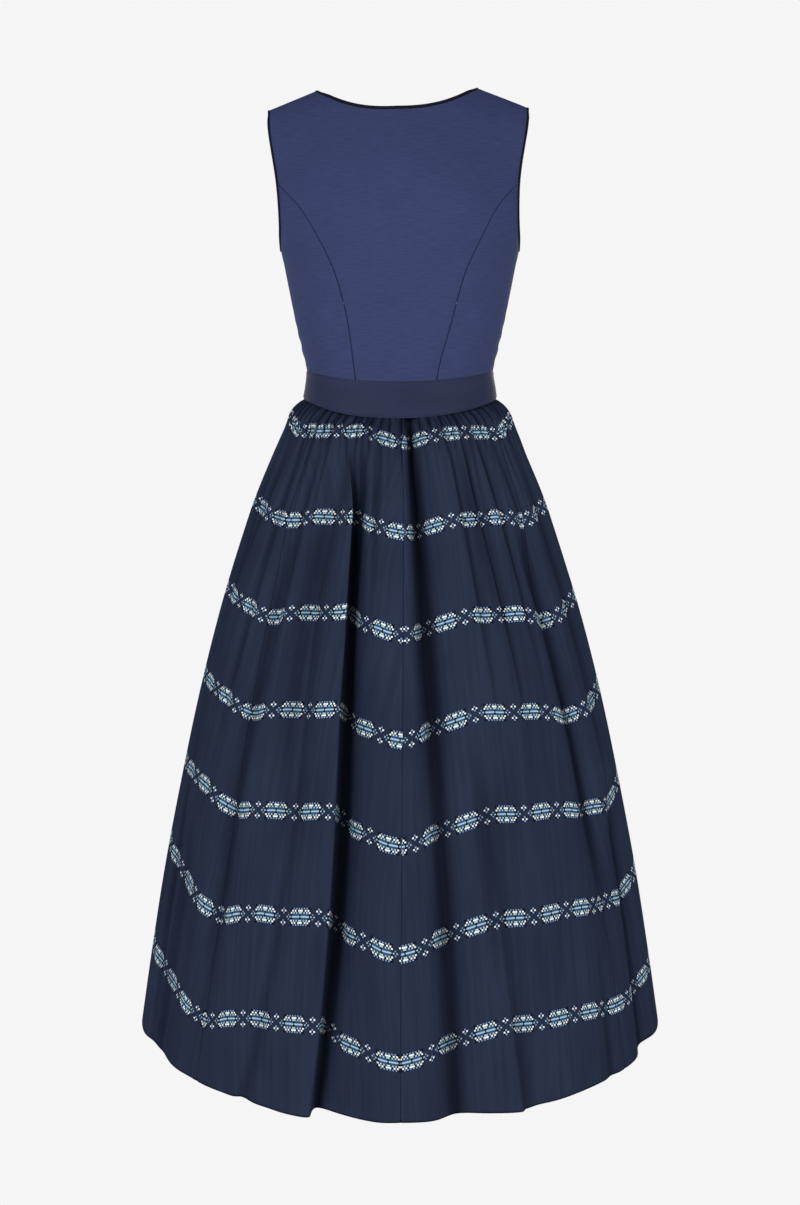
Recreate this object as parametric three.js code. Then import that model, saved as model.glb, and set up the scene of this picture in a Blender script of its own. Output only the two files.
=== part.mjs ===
// A sleeveless dirndl dress: a princess-seamed bodice, a waistband and a long gathered skirt of six gores.
// It holds the shape that it has when worn. Millimetres, +Z up, the wearer faces +Y and the right arm is at +X.
// The origin lies midway between the shoulders, at the height of the shoulder seams, where the wearer holds it up.
import * as THREE from "three";

// Cloth and seams
const BODICE_WALL = 2;
const BAND_WALL = 2.5;
const SKIRT_WALL = 1.5;
const SEAM_GAP = 0.34;
const HALF_GAP = SEAM_GAP / 2;

// Shoulders and neck
const NECK_HALF_WIDTH = 106;
const NECK_POINT_HEIGHT = 15.5;
const SHOULDER_TIP = 168.5;
const SHOULDER_SLOPE = 0.4;
const BACK_NECK_DROP = 32;
const BACK_NECK_CURVE = 2.4;
const FRONT_NECK_DROP = 140;
const FRONT_NECK_ROUNDNESS = 0.75;
const SHOULDER_CROWN = 22;

// Armholes and bodice seams
const UNDERARM = -197;
const BACK_SEAM_MEETS_ARMHOLE = -110;
const FRONT_SEAM_MEETS_ARMHOLE = -118;
const FRONT_ARMHOLE_SCOOP = 12;
const SECTION_SQUARENESS = 0.86;

// Waistband: it dips towards the centre back and centre front
const WAIST_TOP = -355;
const WAIST_TOP_DIP = 11.6;
const WAIST_BOTTOM = -391;
const WAIST_BOTTOM_DIP = 22;
const SIDE_LIFT = 9;
const BAND_PROUD = 1;

// Skirt
const SKIRT_HEM = -1263;
const HEM_DIP = 21;
const SKIRT_DROP = 863;
const DEPTH_SHARE_AT_WAIST = 0.75;
const DEPTH_SHARE_AT_HEM = 0.85;
const GATHER_HEIGHT = 2.1;
const GATHER_SWELL = 1.3;
const GATHER_FADE = 0.1;
const FINE_ROWS = [0, 0.012, 0.034, 0.066];
const COARSE_ROWS = [0.1, 0.17, 0.27, 0.38, 0.5, 0.62, 0.74, 0.87, 1];

// Piping
const NECK_PIPING_RADIUS = 1.7;
const ARMHOLE_PIPING_RADIUS = 1.35;
const PIPING_SIDES = 6;
const PIPING_GAP = 0.6;

// Bodice cross-sections. reach is the half width of the cloth, and turn is how far round from the centre
// back it reaches there, in degrees: 90 is the side seam, and less is the armhole's back edge.
const BODICE_SECTIONS = [
  { z: -10, reach: 168.5, turn: 60 },
  { z: -35, reach: 166.5, turn: 59 },
  { z: -60, reach: 163, turn: 59 },
  { z: -85, reach: 159.5, turn: 60 },
  { z: -110, reach: 157, turn: 61.5 },
  { z: -140, reach: 155.8, turn: 64 },
  { z: -165, reach: 156, turn: 69 },
  { z: -180, reach: 157.2, turn: 77 },
  { z: -197, reach: 158, turn: 90 },
  { z: -215, reach: 154.3, turn: 90 },
  { z: -254, reach: 146.8, turn: 90 },
  { z: -294, reach: 138.8, turn: 90 },
  { z: -333, reach: 129.8, turn: 90 },
  { z: -356, reach: 124.9, turn: 90 },
  { z: -375, reach: 127, turn: 90 },
  { z: -396, reach: 130.6, turn: 90 },
  { z: -416, reach: 133, turn: 90 },
];

// Depth of the bodice behind and before the shoulder line, by the distance below that line.
const BODICE_DEPTHS = [
  { below: 0, back: 0, front: 0 },
  { below: 6, back: 13, front: 12 },
  { below: 15, back: 24, front: 22 },
  { below: 30, back: 38, front: 34 },
  { below: 50, back: 51, front: 46 },
  { below: 75, back: 63.5, front: 58.5 },
  { below: 110, back: 79, front: 76 },
  { below: 150, back: 92, front: 97 },
  { below: 195, back: 99.5, front: 115 },
  { below: 235, back: 101, front: 121 },
  { below: 280, back: 100, front: 117 },
  { below: 330, back: 97.5, front: 105 },
  { below: 404, back: 94, front: 94.5 },
  { below: 470, back: 97, front: 97 },
];

// The back princess seam, from the waist to the armhole, and the front one over the bust.
const BACK_PRINCESS = [
  { z: -366, out: 52.5 },
  { z: -336, out: 57.5 },
  { z: -300, out: 65 },
  { z: -258, out: 75 },
  { z: -220, out: 87 },
  { z: -172, out: 111 },
  { z: -140, out: 130 },
  { z: -110, out: 157 },
];
const FRONT_PRINCESS = [
  { z: -366, out: 50 },
  { z: -330, out: 58 },
  { z: -285, out: 72 },
  { z: -240, out: 87 },
  { z: -200, out: 99 },
  { z: -165, out: 114 },
  { z: -140, out: 127.5 },
  { z: -118, out: 145.5 },
];

// Half width of the skirt by the distance below the waistband.
const SKIRT_SECTIONS = [
  { drop: 0, halfWidth: 128 },
  { drop: 6, halfWidth: 138.5 },
  { drop: 14, halfWidth: 148 },
  { drop: 24, halfWidth: 153.5 },
  { drop: 61, halfWidth: 170.5 },
  { drop: 102, halfWidth: 188.5 },
  { drop: 142, halfWidth: 204 },
  { drop: 265, halfWidth: 243.5 },
  { drop: 390, halfWidth: 276.5 },
  { drop: 516, halfWidth: 304.5 },
  { drop: 643, halfWidth: 330 },
  { drop: 773, halfWidth: 352 },
  { drop: 863, halfWidth: 366 },
];

// The six gores, with the angles of their seams round from the centre back towards the right arm.
const GORES = [
  { name: "skirt_back_right", from: 0, to: 55, gathers: 10 },
  { name: "skirt_side_right", from: 55, to: 118, gathers: 12 },
  { name: "skirt_front_right", from: 118, to: 180, gathers: 11 },
  { name: "skirt_front_left", from: 180, to: 243, gathers: 11 },
  { name: "skirt_side_left", from: 243, to: 313, gathers: 13 },
  { name: "skirt_back_left", from: 313, to: 360, gathers: 9 },
];

// The large folds. top, middle and hem are the angles that a fold passes through, before and after are its
// half widths in degrees on either side, depth is positive inwards and negative on a ridge, and starts and
// ends are shares of the skirt's length: a fold that ends past 1 runs out through the hem.
const FOLDS = [
  { top: -23.5, middle: -14.5, hem: -18, before: 2.6, after: 6, depth: 27, starts: 0.01, ends: 2 },
  { top: 6.5, middle: 10.5, hem: 10, before: 3.2, after: 5, depth: 23, starts: 0, ends: 2 },
  { top: 44, middle: 56.5, hem: 50, before: 4, after: 5.5, depth: 17, starts: 0.14, ends: 0.86 },
  { top: -30, middle: -31, hem: -23, before: 4.5, after: 4.5, depth: 10, starts: 0.1, ends: 0.7 },
  { top: -42, middle: -46, hem: -47, before: 3.5, after: 3, depth: 10, starts: 0.12, ends: 2 },
  { top: -62, middle: -80, hem: -84, before: 4, after: 4, depth: 9, starts: 0, ends: 0.42 },
  { top: -31, middle: -19.5, hem: -22, before: 4, after: 2.5, depth: -9, starts: 0.3, ends: 2 },
  { top: 22, middle: 24, hem: 26, before: 4, after: 3, depth: -9, starts: 0.45, ends: 2 },
  { top: 28, middle: 33, hem: 36, before: 3, after: 4, depth: 8, starts: 0, ends: 0.4 },
  { top: 68, middle: 73, hem: 76, before: 4, after: 4, depth: 9, starts: 0.05, ends: 0.6 },
  { top: -68, middle: -64, hem: -66, before: 6.5, after: 7.5, depth: 18, starts: 0.6, ends: 2 },
  { top: 76, middle: 72, hem: 68, before: 5, after: 6, depth: 14, starts: 0.55, ends: 2 },
  { top: 96, middle: 101, hem: 99, before: 4, after: 5.5, depth: 20, starts: 0.04, ends: 2 },
  { top: 121, middle: 124, hem: 128, before: 5, after: 3.5, depth: 15, starts: 0.1, ends: 0.9 },
  { top: 140, middle: 143, hem: 146, before: 3, after: 5.5, depth: 25, starts: 0.02, ends: 2 },
  { top: 164, middle: 162, hem: 166, before: 4, after: 4, depth: 12, starts: 0.2, ends: 0.75 },
  { top: 186, middle: 182, hem: 180, before: 4, after: 3, depth: 18, starts: 0, ends: 2 },
  { top: 203, middle: 206, hem: 203, before: 5, after: 3, depth: 24, starts: 0.03, ends: 2 },
  { top: 226, middle: 222, hem: 225, before: 4, after: 5, depth: 13, starts: 0.3, ends: 2 },
  { top: 241, middle: 244, hem: 242, before: 3.5, after: 4, depth: 17, starts: 0.02, ends: 0.8 },
  { top: 258, middle: 260, hem: 257, before: 4.5, after: 5.5, depth: 19, starts: 0.25, ends: 2 },
];

const COLOURS = { bodice: 0x3c4267, band: 0x323850, skirt: 0x252b42, piping: 0x12141f };

const radians = THREE.MathUtils.degToRad;

/** Reads a column of a table at a position, on a smooth curve through its rows. */
function readTable(rows, along, column, position) {
  const rising = rows[rows.length - 1][along] > rows[0][along];
  const ordered = rising ? rows : [...rows].reverse();
  const last = ordered.length - 1;
  const at = THREE.MathUtils.clamp(position, ordered[0][along], ordered[last][along]);
  let i = 0;
  while (i < last - 1 && at > ordered[i + 1][along]) i += 1;
  const slopeAt = (k) => {
    const before = ordered[Math.max(k - 1, 0)];
    const after = ordered[Math.min(k + 1, last)];
    return (after[column] - before[column]) / (after[along] - before[along]);
  };
  const span = ordered[i + 1][along] - ordered[i][along];
  const t = (at - ordered[i][along]) / span;
  const start = (1 + 2 * t) * (1 - t) ** 2 * ordered[i][column];
  const end = t * t * (3 - 2 * t) * ordered[i + 1][column];
  const leaving = t * (1 - t) ** 2 * span * slopeAt(i);
  const arriving = t * t * (t - 1) * span * slopeAt(i + 1);
  return start + end + leaving + arriving;
}

/** Makes the mesh of a closed body from its vertices and triangles, with the faces pointing out. */
function closedMesh(name, vertices, triangles, colour, roughness) {
  const volume = triangles.reduce((sum, [a, b, c]) => {
    const cross = new THREE.Vector3().crossVectors(vertices[b], vertices[c]);
    return sum + vertices[a].dot(cross);
  }, 0);
  const index = volume > 0 ? triangles.flat() : triangles.flatMap(([a, b, c]) => [a, c, b]);
  const geometry = new THREE.BufferGeometry().setFromPoints(vertices);
  geometry.setIndex(index);
  geometry.computeVertexNormals();
  const material = new THREE.MeshStandardMaterial({ color: colour, roughness, metalness: 0 });
  const mesh = new THREE.Mesh(geometry, material);
  mesh.name = name;
  return mesh;
}

/** Joins two rows of cloth, where the lower row has as many columns as the upper one, or half as many. */
function rowTriangles(upper, lower) {
  const triangles = [];
  if (upper.length === lower.length) {
    for (let j = 0; j + 1 < upper.length; j += 1) {
      triangles.push([upper[j], lower[j], lower[j + 1]]);
      triangles.push([upper[j], lower[j + 1], upper[j + 1]]);
    }
    return triangles;
  }
  for (let j = 0; j + 1 < lower.length; j += 1) {
    const [left, middle, right] = upper.slice(2 * j, 2 * j + 3);
    triangles.push([left, lower[j], middle]);
    triangles.push([middle, lower[j], lower[j + 1]]);
    triangles.push([middle, lower[j + 1], right]);
  }
  return triangles;
}

/** A wall of cloth between a grid of outer points and the same grid moved inwards. Rows run downwards. */
function clothWall(name, outer, inner, colour, roughness) {
  const vertices = [];
  const number = (rows) => rows.map((row) => row.map((point) => vertices.push(point) - 1));
  const face = number(outer);
  const lining = number(inner);
  const triangles = [];
  for (let i = 0; i + 1 < face.length; i += 1) {
    triangles.push(...rowTriangles(face[i], face[i + 1]));
    triangles.push(...rowTriangles(lining[i], lining[i + 1]).map(([a, b, c]) => [a, c, b]));
  }
  const border = (outside, inside) => {
    for (let k = 0; k + 1 < outside.length; k += 1) {
      triangles.push([outside[k], outside[k + 1], inside[k + 1]]);
      triangles.push([outside[k], inside[k + 1], inside[k]]);
    }
  };
  const firstColumn = (rows) => rows.map((row) => row[0]);
  const lastColumn = (rows) => rows.map((row) => row[row.length - 1]);
  border(face[0], lining[0]);
  border([...face[face.length - 1]].reverse(), [...lining[lining.length - 1]].reverse());
  border(firstColumn(face).reverse(), firstColumn(lining).reverse());
  border(lastColumn(face), lastColumn(lining));
  return closedMesh(name, vertices, triangles, colour, roughness);
}

// ---- Bodice ----

/** Height of the shoulder line above a point that lies this far out from the centre. */
function shoulderLine(out) {
  return NECK_POINT_HEIGHT - SHOULDER_SLOPE * (Math.abs(out) - NECK_HALF_WIDTH);
}

/** Half width of the whole form at a height, taken round to the side even where the armhole is open. */
function formHalfWidth(z) {
  const reach = readTable(BODICE_SECTIONS, "z", "reach", z);
  const turn = readTable(BODICE_SECTIONS, "z", "turn", z);
  return reach / Math.sin(radians(Math.min(turn, 90))) ** SECTION_SQUARENESS;
}

/** The turn from the centre line, in degrees, of a point that lies this far out at a height. */
function turnAt(out, z) {
  const share = Math.min(Math.abs(out) / formHalfWidth(z), 1);
  return THREE.MathUtils.radToDeg(Math.asin(share ** (1 / SECTION_SQUARENESS)));
}

/** A point on the outside of the bodice. half is "back" or "front", and turn runs from that centre line. */
function bodicePoint(half, turn, z, proud = 0) {
  const sine = Math.sin(radians(Math.abs(turn)));
  const cosine = Math.max(Math.cos(radians(turn)), 0);
  const x = Math.sign(turn) * (formHalfWidth(z) + proud) * sine ** SECTION_SQUARENESS;
  const below = Math.max(shoulderLine(x) - z, 0);
  const depth = readTable(BODICE_DEPTHS, "below", half, below) + proud;
  const y = HALF_GAP + depth * cosine ** SECTION_SQUARENESS;
  return new THREE.Vector3(x, half === "back" ? -y : y, z);
}

/** The direction out of the cloth. Over the shoulder it turns to point straight off the seam. */
function bodiceNormal(half, turn, z) {
  const step = 1.5;
  const across = bodicePoint(half, turn + step, z).sub(bodicePoint(half, turn - step, z));
  const up = bodicePoint(half, turn, z + step).sub(bodicePoint(half, turn, z - step));
  const normal = across.cross(up).multiplyScalar(half === "back" ? 1 : -1).normalize();
  const point = bodicePoint(half, turn, z);
  const crown = new THREE.Vector3(Math.sign(turn) * SHOULDER_SLOPE, 0, 1).normalize();
  const below = shoulderLine(point.x) - z;
  const onCrown = 1 - THREE.MathUtils.smoothstep(below, 0, SHOULDER_CROWN);
  const side = new THREE.Vector3(Math.sign(turn), 0, 0);
  const onSide = THREE.MathUtils.smoothstep(Math.abs(turn), 78, 90);
  normal.lerp(side, onSide);
  return normal.lerp(crown, onCrown).normalize();
}

/** The lower edge of the bodice and the edges of the waistband, by the turn from the centre line. */
const waistTop = (turn) => WAIST_TOP - WAIST_TOP_DIP * Math.cos(radians(turn)) ** 2;
const waistBottom = (turn) => WAIST_BOTTOM - WAIST_BOTTOM_DIP * Math.cos(radians(turn)) ** 2;

/** The armhole's edge at a height, as a turn from the centre line. */
function armholeTurn(half, z) {
  const reach = readTable(BODICE_SECTIONS, "z", "reach", z);
  const rise = (z - UNDERARM) / (shoulderLine(SHOULDER_TIP) - UNDERARM);
  const scoop = half === "front" ? FRONT_ARMHOLE_SCOOP * Math.sin(Math.PI * rise) ** 1.2 : 0;
  return z <= UNDERARM ? 90 : turnAt(reach - scoop, z);
}

/** The princess seam's turn at a height. */
function princessTurn(half, z) {
  return turnAt(readTable(half === "back" ? BACK_PRINCESS : FRONT_PRINCESS, "z", "out", z), z);
}

/** The neckline of one half, from the centre (0) to the neck point (1), as a turn and a height. */
function necklinePoint(half, share) {
  if (half === "back") {
    const out = NECK_HALF_WIDTH * share;
    const z = NECK_POINT_HEIGHT - BACK_NECK_DROP * (1 - share ** BACK_NECK_CURVE);
    return { turn: turnAt(out, z), z };
  }
  const angle = (1 - share) * Math.PI * 0.5;
  const z = NECK_POINT_HEIGHT - FRONT_NECK_DROP * Math.sin(angle) ** FRONT_NECK_ROUNDNESS;
  const out = NECK_HALF_WIDTH * Math.max(Math.cos(angle), 0) ** FRONT_NECK_ROUNDNESS;
  return { turn: turnAt(out, z), z };
}

/** The shoulder seam from the neck point (0) to the tip (1). */
function shoulderPoint(share) {
  const out = THREE.MathUtils.lerp(NECK_HALF_WIDTH, SHOULDER_TIP, share);
  const z = shoulderLine(out);
  return { turn: turnAt(out, z), z };
}

/** The armhole from the princess seam (0) up to the shoulder tip (1), or down to the underarm (1). */
function armholePoint(half, share, downwards) {
  const meeting = half === "back" ? BACK_SEAM_MEETS_ARMHOLE : FRONT_SEAM_MEETS_ARMHOLE;
  const end = downwards ? UNDERARM : shoulderLine(SHOULDER_TIP);
  const eased = downwards ? Math.sin(share * Math.PI * 0.5) : share;
  const z = THREE.MathUtils.lerp(meeting, end, eased);
  return { turn: armholeTurn(half, z), z };
}

/** The princess seam from the waist (0) to its corner on the armhole (1). */
function princessPoint(half, share) {
  if (share === 1) return armholePoint(half, 0, false);
  const meeting = half === "back" ? BACK_SEAM_MEETS_ARMHOLE : FRONT_SEAM_MEETS_ARMHOLE;
  const foot = princessTurn(half, WAIST_TOP - WAIST_TOP_DIP);
  const z = THREE.MathUtils.lerp(waistTop(foot), meeting, share);
  return { turn: princessTurn(half, z), z };
}

/** A point inside a patch between four edges that meet at its corners, as a turn and a height. */
function patchPoint(edges, across, up) {
  const { bottom, top, near, far } = edges;
  const blend = (key) => {
    const rows = THREE.MathUtils.lerp(bottom(across)[key], top(across)[key], up);
    const columns = THREE.MathUtils.lerp(near(up)[key], far(up)[key], across);
    const low = THREE.MathUtils.lerp(bottom(0)[key], bottom(1)[key], across);
    const high = THREE.MathUtils.lerp(top(0)[key], top(1)[key], across);
    return rows + columns - THREE.MathUtils.lerp(low, high, up);
  };
  return { turn: blend("turn"), z: blend("z") };
}

const CENTRE_ROWS = { seam: 7, armhole: 6 };
const CENTRE_COLUMNS = { neck: 7, shoulder: 3 };
const SIDE_COLUMNS = 6;
const SEAM_TURN = 0.1;

/** The edges of a centre panel's half: centre line, waist, princess seam and armhole, neck and shoulder. */
function centreEdges(half) {
  const rows = CENTRE_ROWS.seam + CENTRE_ROWS.armhole;
  const columns = CENTRE_COLUMNS.neck + CENTRE_COLUMNS.shoulder;
  const seamShare = CENTRE_ROWS.seam / rows;
  const neckShare = CENTRE_COLUMNS.neck / columns;
  const foot = princessPoint(half, 0).turn - SEAM_TURN;
  const centreTop = necklinePoint(half, 0).z;
  return {
    bottom: (share) => ({ turn: foot * share, z: waistTop(foot * share) }),
    top: (share) =>
      share <= neckShare
        ? necklinePoint(half, share / neckShare)
        : shoulderPoint((share - neckShare) / (1 - neckShare)),
    near: (share) => ({ turn: 0, z: THREE.MathUtils.lerp(waistTop(0), centreTop, share) }),
    far: (share) => {
      if (share > seamShare) return armholePoint(half, (share - seamShare) / (1 - seamShare), false);
      const { turn, z } = princessPoint(half, share / seamShare);
      return { turn: turn - SEAM_TURN, z };
    },
  };
}

/** The edges of a side panel: princess seam, waist, side seam and the lower part of the armhole. */
function sideEdges(half) {
  const foot = princessPoint(half, 0).turn + SEAM_TURN;
  return {
    bottom: (share) => {
      const turn = THREE.MathUtils.lerp(foot, 90, share);
      return { turn, z: waistTop(turn) };
    },
    top: (share) => {
      const { turn, z } = armholePoint(half, share, true);
      return { turn: turn + SEAM_TURN * (1 - share), z };
    },
    near: (share) => {
      const { turn, z } = princessPoint(half, share);
      return { turn: turn + SEAM_TURN, z };
    },
    far: (share) => ({ turn: 90, z: THREE.MathUtils.lerp(waistTop(90), UNDERARM, share) }),
  };
}

/** A bodice panel from its edges. hand is 1 for the wearer's right and -1 for the left. */
function bodicePanel(name, half, edges, shares, rowCount, hand) {
  const meetsCentre = half === "front" && rowCount > CENTRE_ROWS.seam;
  const outer = [];
  const inner = [];
  for (let i = rowCount; i >= 0; i -= 1) {
    const places = shares.map((share) => {
      const place = patchPoint(edges, Math.abs(share), i / rowCount);
      return { turn: place.turn * (Math.sign(share) || 1) * hand, z: place.z };
    });
    const points = places.map(({ turn, z }) => bodicePoint(half, turn, z));
    const inwards = places.map(({ turn, z }) => bodiceNormal(half, turn, z));
    if (meetsCentre) points[0].x = hand * HALF_GAP;
    outer.push(points);
    inner.push(points.map((point, j) => {
      const moved = point.clone().addScaledVector(inwards[j], -BODICE_WALL);
      if (meetsCentre && j === 0) moved.x = point.x;
      if (Math.abs(places[j].turn) > 89.9) moved.y = point.y;
      return moved;
    }));
  }
  return clothWall(name, outer, inner, COLOURS.bodice, 0.75);
}

/** The seven panels of the bodice. */
function makeBodice() {
  const halfColumns = CENTRE_COLUMNS.neck + CENTRE_COLUMNS.shoulder;
  const centreRows = CENTRE_ROWS.seam + CENTRE_ROWS.armhole;
  const halfShares = Array.from({ length: halfColumns + 1 }, (_, j) => j / halfColumns);
  const wholeShares = [...halfShares.slice(1).reverse().map((share) => -share), ...halfShares];
  const sideShares = Array.from({ length: SIDE_COLUMNS + 1 }, (_, j) => j / SIDE_COLUMNS);
  const group = new THREE.Group();
  group.add(bodicePanel("bodice_back_centre", "back", centreEdges("back"), wholeShares, centreRows, 1));
  for (const [side, hand] of [["left", -1], ["right", 1]]) {
    const back = sideEdges("back");
    const front = sideEdges("front");
    const fore = centreEdges("front");
    group.add(bodicePanel(`bodice_back_side_${side}`, "back", back, sideShares, CENTRE_ROWS.seam, hand));
    group.add(bodicePanel(`bodice_front_side_${side}`, "front", front, sideShares, CENTRE_ROWS.seam, hand));
    group.add(bodicePanel(`bodice_front_${side}`, "front", fore, halfShares, centreRows, hand));
  }
  return group;
}

// ---- Piping ----

/** A round piping beside a cloth edge. Each place has a half, a turn and a height, and hollow is the
 *  middle of the opening that the edge surrounds. */
function makePiping(name, places, radius, hollow, closed) {
  const edge = places.map(({ half, turn, z }) => ({
    point: bodicePoint(half, turn, z),
    normal: bodiceNormal(half, turn, z),
  }));
  const count = edge.length;
  const vertices = [];
  edge.forEach(({ point, normal }, i) => {
    const before = edge[closed ? (i + count - 1) % count : Math.max(i - 1, 0)].point;
    const after = edge[closed ? (i + 1) % count : Math.min(i + 1, count - 1)].point;
    const tangent = after.clone().sub(before).normalize();
    const away = tangent.clone().cross(normal).normalize();
    if (away.dot(hollow.clone().sub(point)) < 0) away.negate();
    const out = away.clone().cross(tangent).normalize();
    const middle = point.clone().addScaledVector(normal, -BODICE_WALL / 2);
    middle.addScaledVector(away, radius + PIPING_GAP);
    const isEnd = !closed && (i === 0 || i === count - 1);
    for (let k = 0; k < PIPING_SIDES; k += 1) {
      const angle = (2 * Math.PI * k) / PIPING_SIDES;
      const spoke = away.clone().multiplyScalar(Math.cos(angle)).addScaledVector(out, Math.sin(angle));
      const vertex = middle.clone().addScaledVector(spoke, radius);
      if (isEnd) vertex.x = HALF_GAP * Math.sign(edge[i === 0 ? 1 : count - 2].point.x);
      vertices.push(vertex);
    }
  });
  return closedMesh(name, vertices, pipingTriangles(count, closed), COLOURS.piping, 0.6);
}

/** The triangles of a tube of rings, joined end to end or closed with a flat end at each side. */
function pipingTriangles(count, closed) {
  const triangles = [];
  const rings = closed ? count : count - 1;
  for (let i = 0; i < rings; i += 1) {
    const next = (i + 1) % count;
    for (let k = 0; k < PIPING_SIDES; k += 1) {
      const side = (k + 1) % PIPING_SIDES;
      const [a, b] = [i * PIPING_SIDES + k, i * PIPING_SIDES + side];
      const [c, d] = [next * PIPING_SIDES + k, next * PIPING_SIDES + side];
      triangles.push([a, b, d], [a, d, c]);
    }
  }
  for (let k = 1; !closed && k + 1 < PIPING_SIDES; k += 1) {
    const end = (count - 1) * PIPING_SIDES;
    triangles.push([0, k + 1, k], [end, end + k, end + k + 1]);
  }
  return triangles;
}

/** The neck piping, which parts at the centre front, and the two armhole pipings. */
function makePipings() {
  const group = new THREE.Group();
  const steps = (count) => Array.from({ length: count + 1 }, (_, i) => i / count);
  const neckHalf = (half, hand) =>
    steps(CENTRE_COLUMNS.neck).map((share) => {
      const { turn, z } = necklinePoint(half, share);
      return { half, turn: turn * hand, z };
    });
  const neck = [
    ...neckHalf("front", 1),
    ...neckHalf("back", 1).slice(0, -1).reverse(),
    ...neckHalf("back", -1).slice(1, -1),
    ...neckHalf("front", -1).reverse(),
  ];
  const throat = new THREE.Vector3(0, 0, 60);
  group.add(makePiping("neck_piping", neck, NECK_PIPING_RADIUS, throat, false));
  for (const [side, hand] of [["left", -1], ["right", 1]]) {
    const edge = (half, count, downwards) =>
      steps(count).map((share) => {
        const { turn, z } = armholePoint(half, share, downwards);
        return { half, turn: turn * hand, z };
      });
    const loop = [
      ...edge("back", SIDE_COLUMNS, true).slice(1).reverse(),
      ...edge("back", CENTRE_ROWS.armhole, false),
      ...edge("front", CENTRE_ROWS.armhole, false).slice(0, -1).reverse(),
      ...edge("front", SIDE_COLUMNS, true).slice(1, -1),
    ];
    const hole = new THREE.Vector3(hand * 158, 0, -100);
    group.add(makePiping(`armhole_piping_${side}`, loop, ARMHOLE_PIPING_RADIUS, hole, true));
  }
  return group;
}

// ---- Waistband ----

/** The band round the waist, which parts at the centre front. */
function makeWaistband() {
  const columns = 60;
  const levels = [0, 0.5, 1];
  const angles = Array.from({ length: columns + 1 }, (_, j) => -180 + (360 * j) / columns);
  const rows = (proud) =>
    levels.map((level) =>
      angles.map((angle) => {
        const half = Math.abs(angle) <= 90 ? "back" : "front";
        const turn = half === "back" ? angle : Math.sign(angle) * (180 - Math.abs(angle));
        const z = THREE.MathUtils.lerp(waistTop(turn) - SEAM_GAP, waistBottom(turn), level);
        const point = bodicePoint(half, turn, z, proud);
        if (Math.abs(angle) === 90) point.y = 0;
        if (Math.abs(angle) === 180) point.x = Math.sign(angle) * HALF_GAP;
        return point;
      }),
    );
  return clothWall("waistband", rows(BAND_PROUD), rows(BAND_PROUD - BAND_WALL), COLOURS.band, 0.4);
}

// ---- Skirt ----

/** The smallest angle from one direction to another, in degrees. */
function angleBetween(from, to) {
  return ((((to - from) % 360) + 540) % 360) - 180;
}

/** How far the large folds push the cloth inwards at an angle and a share of the skirt's length. */
function foldDepth(angle, share) {
  return FOLDS.reduce((sum, fold) => {
    const { top, middle, hem, before, after, depth, starts, ends } = fold;
    const bend = top * (1 - share) * (1 - 2 * share) + hem * share * (2 * share - 1);
    const at = bend + 4 * middle * share * (1 - share);
    const offset = angleBetween(at, angle);
    const width = (offset < 0 ? before : after) * (1 + 0.35 * (1 - share));
    const appears = THREE.MathUtils.smoothstep(share, starts, starts + 0.14);
    const fades = 1 - THREE.MathUtils.smoothstep(share, ends - 0.3, ends);
    return sum + depth * appears * fades * Math.exp(-((offset / width) ** 2));
  }, 0);
}

/** Height of the gathers at a place in a gore. count runs through its gathers, with a valley at each seam. */
function gatherHeight(gore, count, share) {
  const across = count / gore.gathers;
  const uneven = 1 + 0.45 * Math.sin(2.4 * count + gore.from) * Math.sin(Math.PI * across);
  const swell = 1 + GATHER_SWELL * THREE.MathUtils.smoothstep(share, 0, 0.03);
  const fade = 1 - THREE.MathUtils.smoothstep(share, 0.015, GATHER_FADE * (0.8 + 0.4 * uneven));
  return -GATHER_HEIGHT * uneven * swell * fade * Math.cos(2 * Math.PI * count);
}

/** The angle round the skirt of a place in a gore. The gathers are spaced unevenly between its seams. */
function goreAngle(gore, count) {
  const across = count / gore.gathers;
  const drift = 0.012 * Math.sin(6 * Math.PI * across) + 0.009 * Math.sin(10 * Math.PI * across);
  return THREE.MathUtils.lerp(gore.from, gore.to, across + drift);
}

/** A point on the outside of the skirt, at a place in a gore and a share of the skirt's length. */
function skirtPoint(gore, count, share, seamShift = 0) {
  const side = Math.sin(radians(goreAngle(gore, count))) ** 2;
  const lift = SIDE_LIFT * side * (1 - share) * THREE.MathUtils.smoothstep(share, 0, 0.05);
  const halfWidth = readTable(SKIRT_SECTIONS, "drop", "halfWidth", share * SKIRT_DROP - lift);
  const halfDepth = halfWidth * THREE.MathUtils.lerp(DEPTH_SHARE_AT_WAIST, DEPTH_SHARE_AT_HEM, share);
  const angle = goreAngle(gore, count) + THREE.MathUtils.radToDeg(seamShift / halfDepth);
  const [sine, cosine] = [Math.sin(radians(angle)), Math.cos(radians(angle))];
  const outwards = new THREE.Vector3(sine / halfWidth, -cosine / halfDepth, 0).normalize();
  const top = waistBottom(angle) - 4 * SEAM_GAP;
  const hem = SKIRT_HEM - HEM_DIP * cosine ** 2;
  const point = new THREE.Vector3(halfWidth * sine, -halfDepth * cosine, THREE.MathUtils.lerp(top, hem, share));
  const height = gatherHeight(gore, count, share) - foldDepth(angle, share);
  return point.addScaledVector(outwards, height);
}

/** The direction out of the skirt's cloth, level with the ground. */
function skirtNormal(gore, count, share) {
  const step = share > FINE_ROWS.at(-1) ? 0.5 : 0.25;
  const along = skirtPoint(gore, count + step, share).sub(skirtPoint(gore, count - step, share));
  return new THREE.Vector3(along.y, -along.x, 0).normalize();
}

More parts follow.
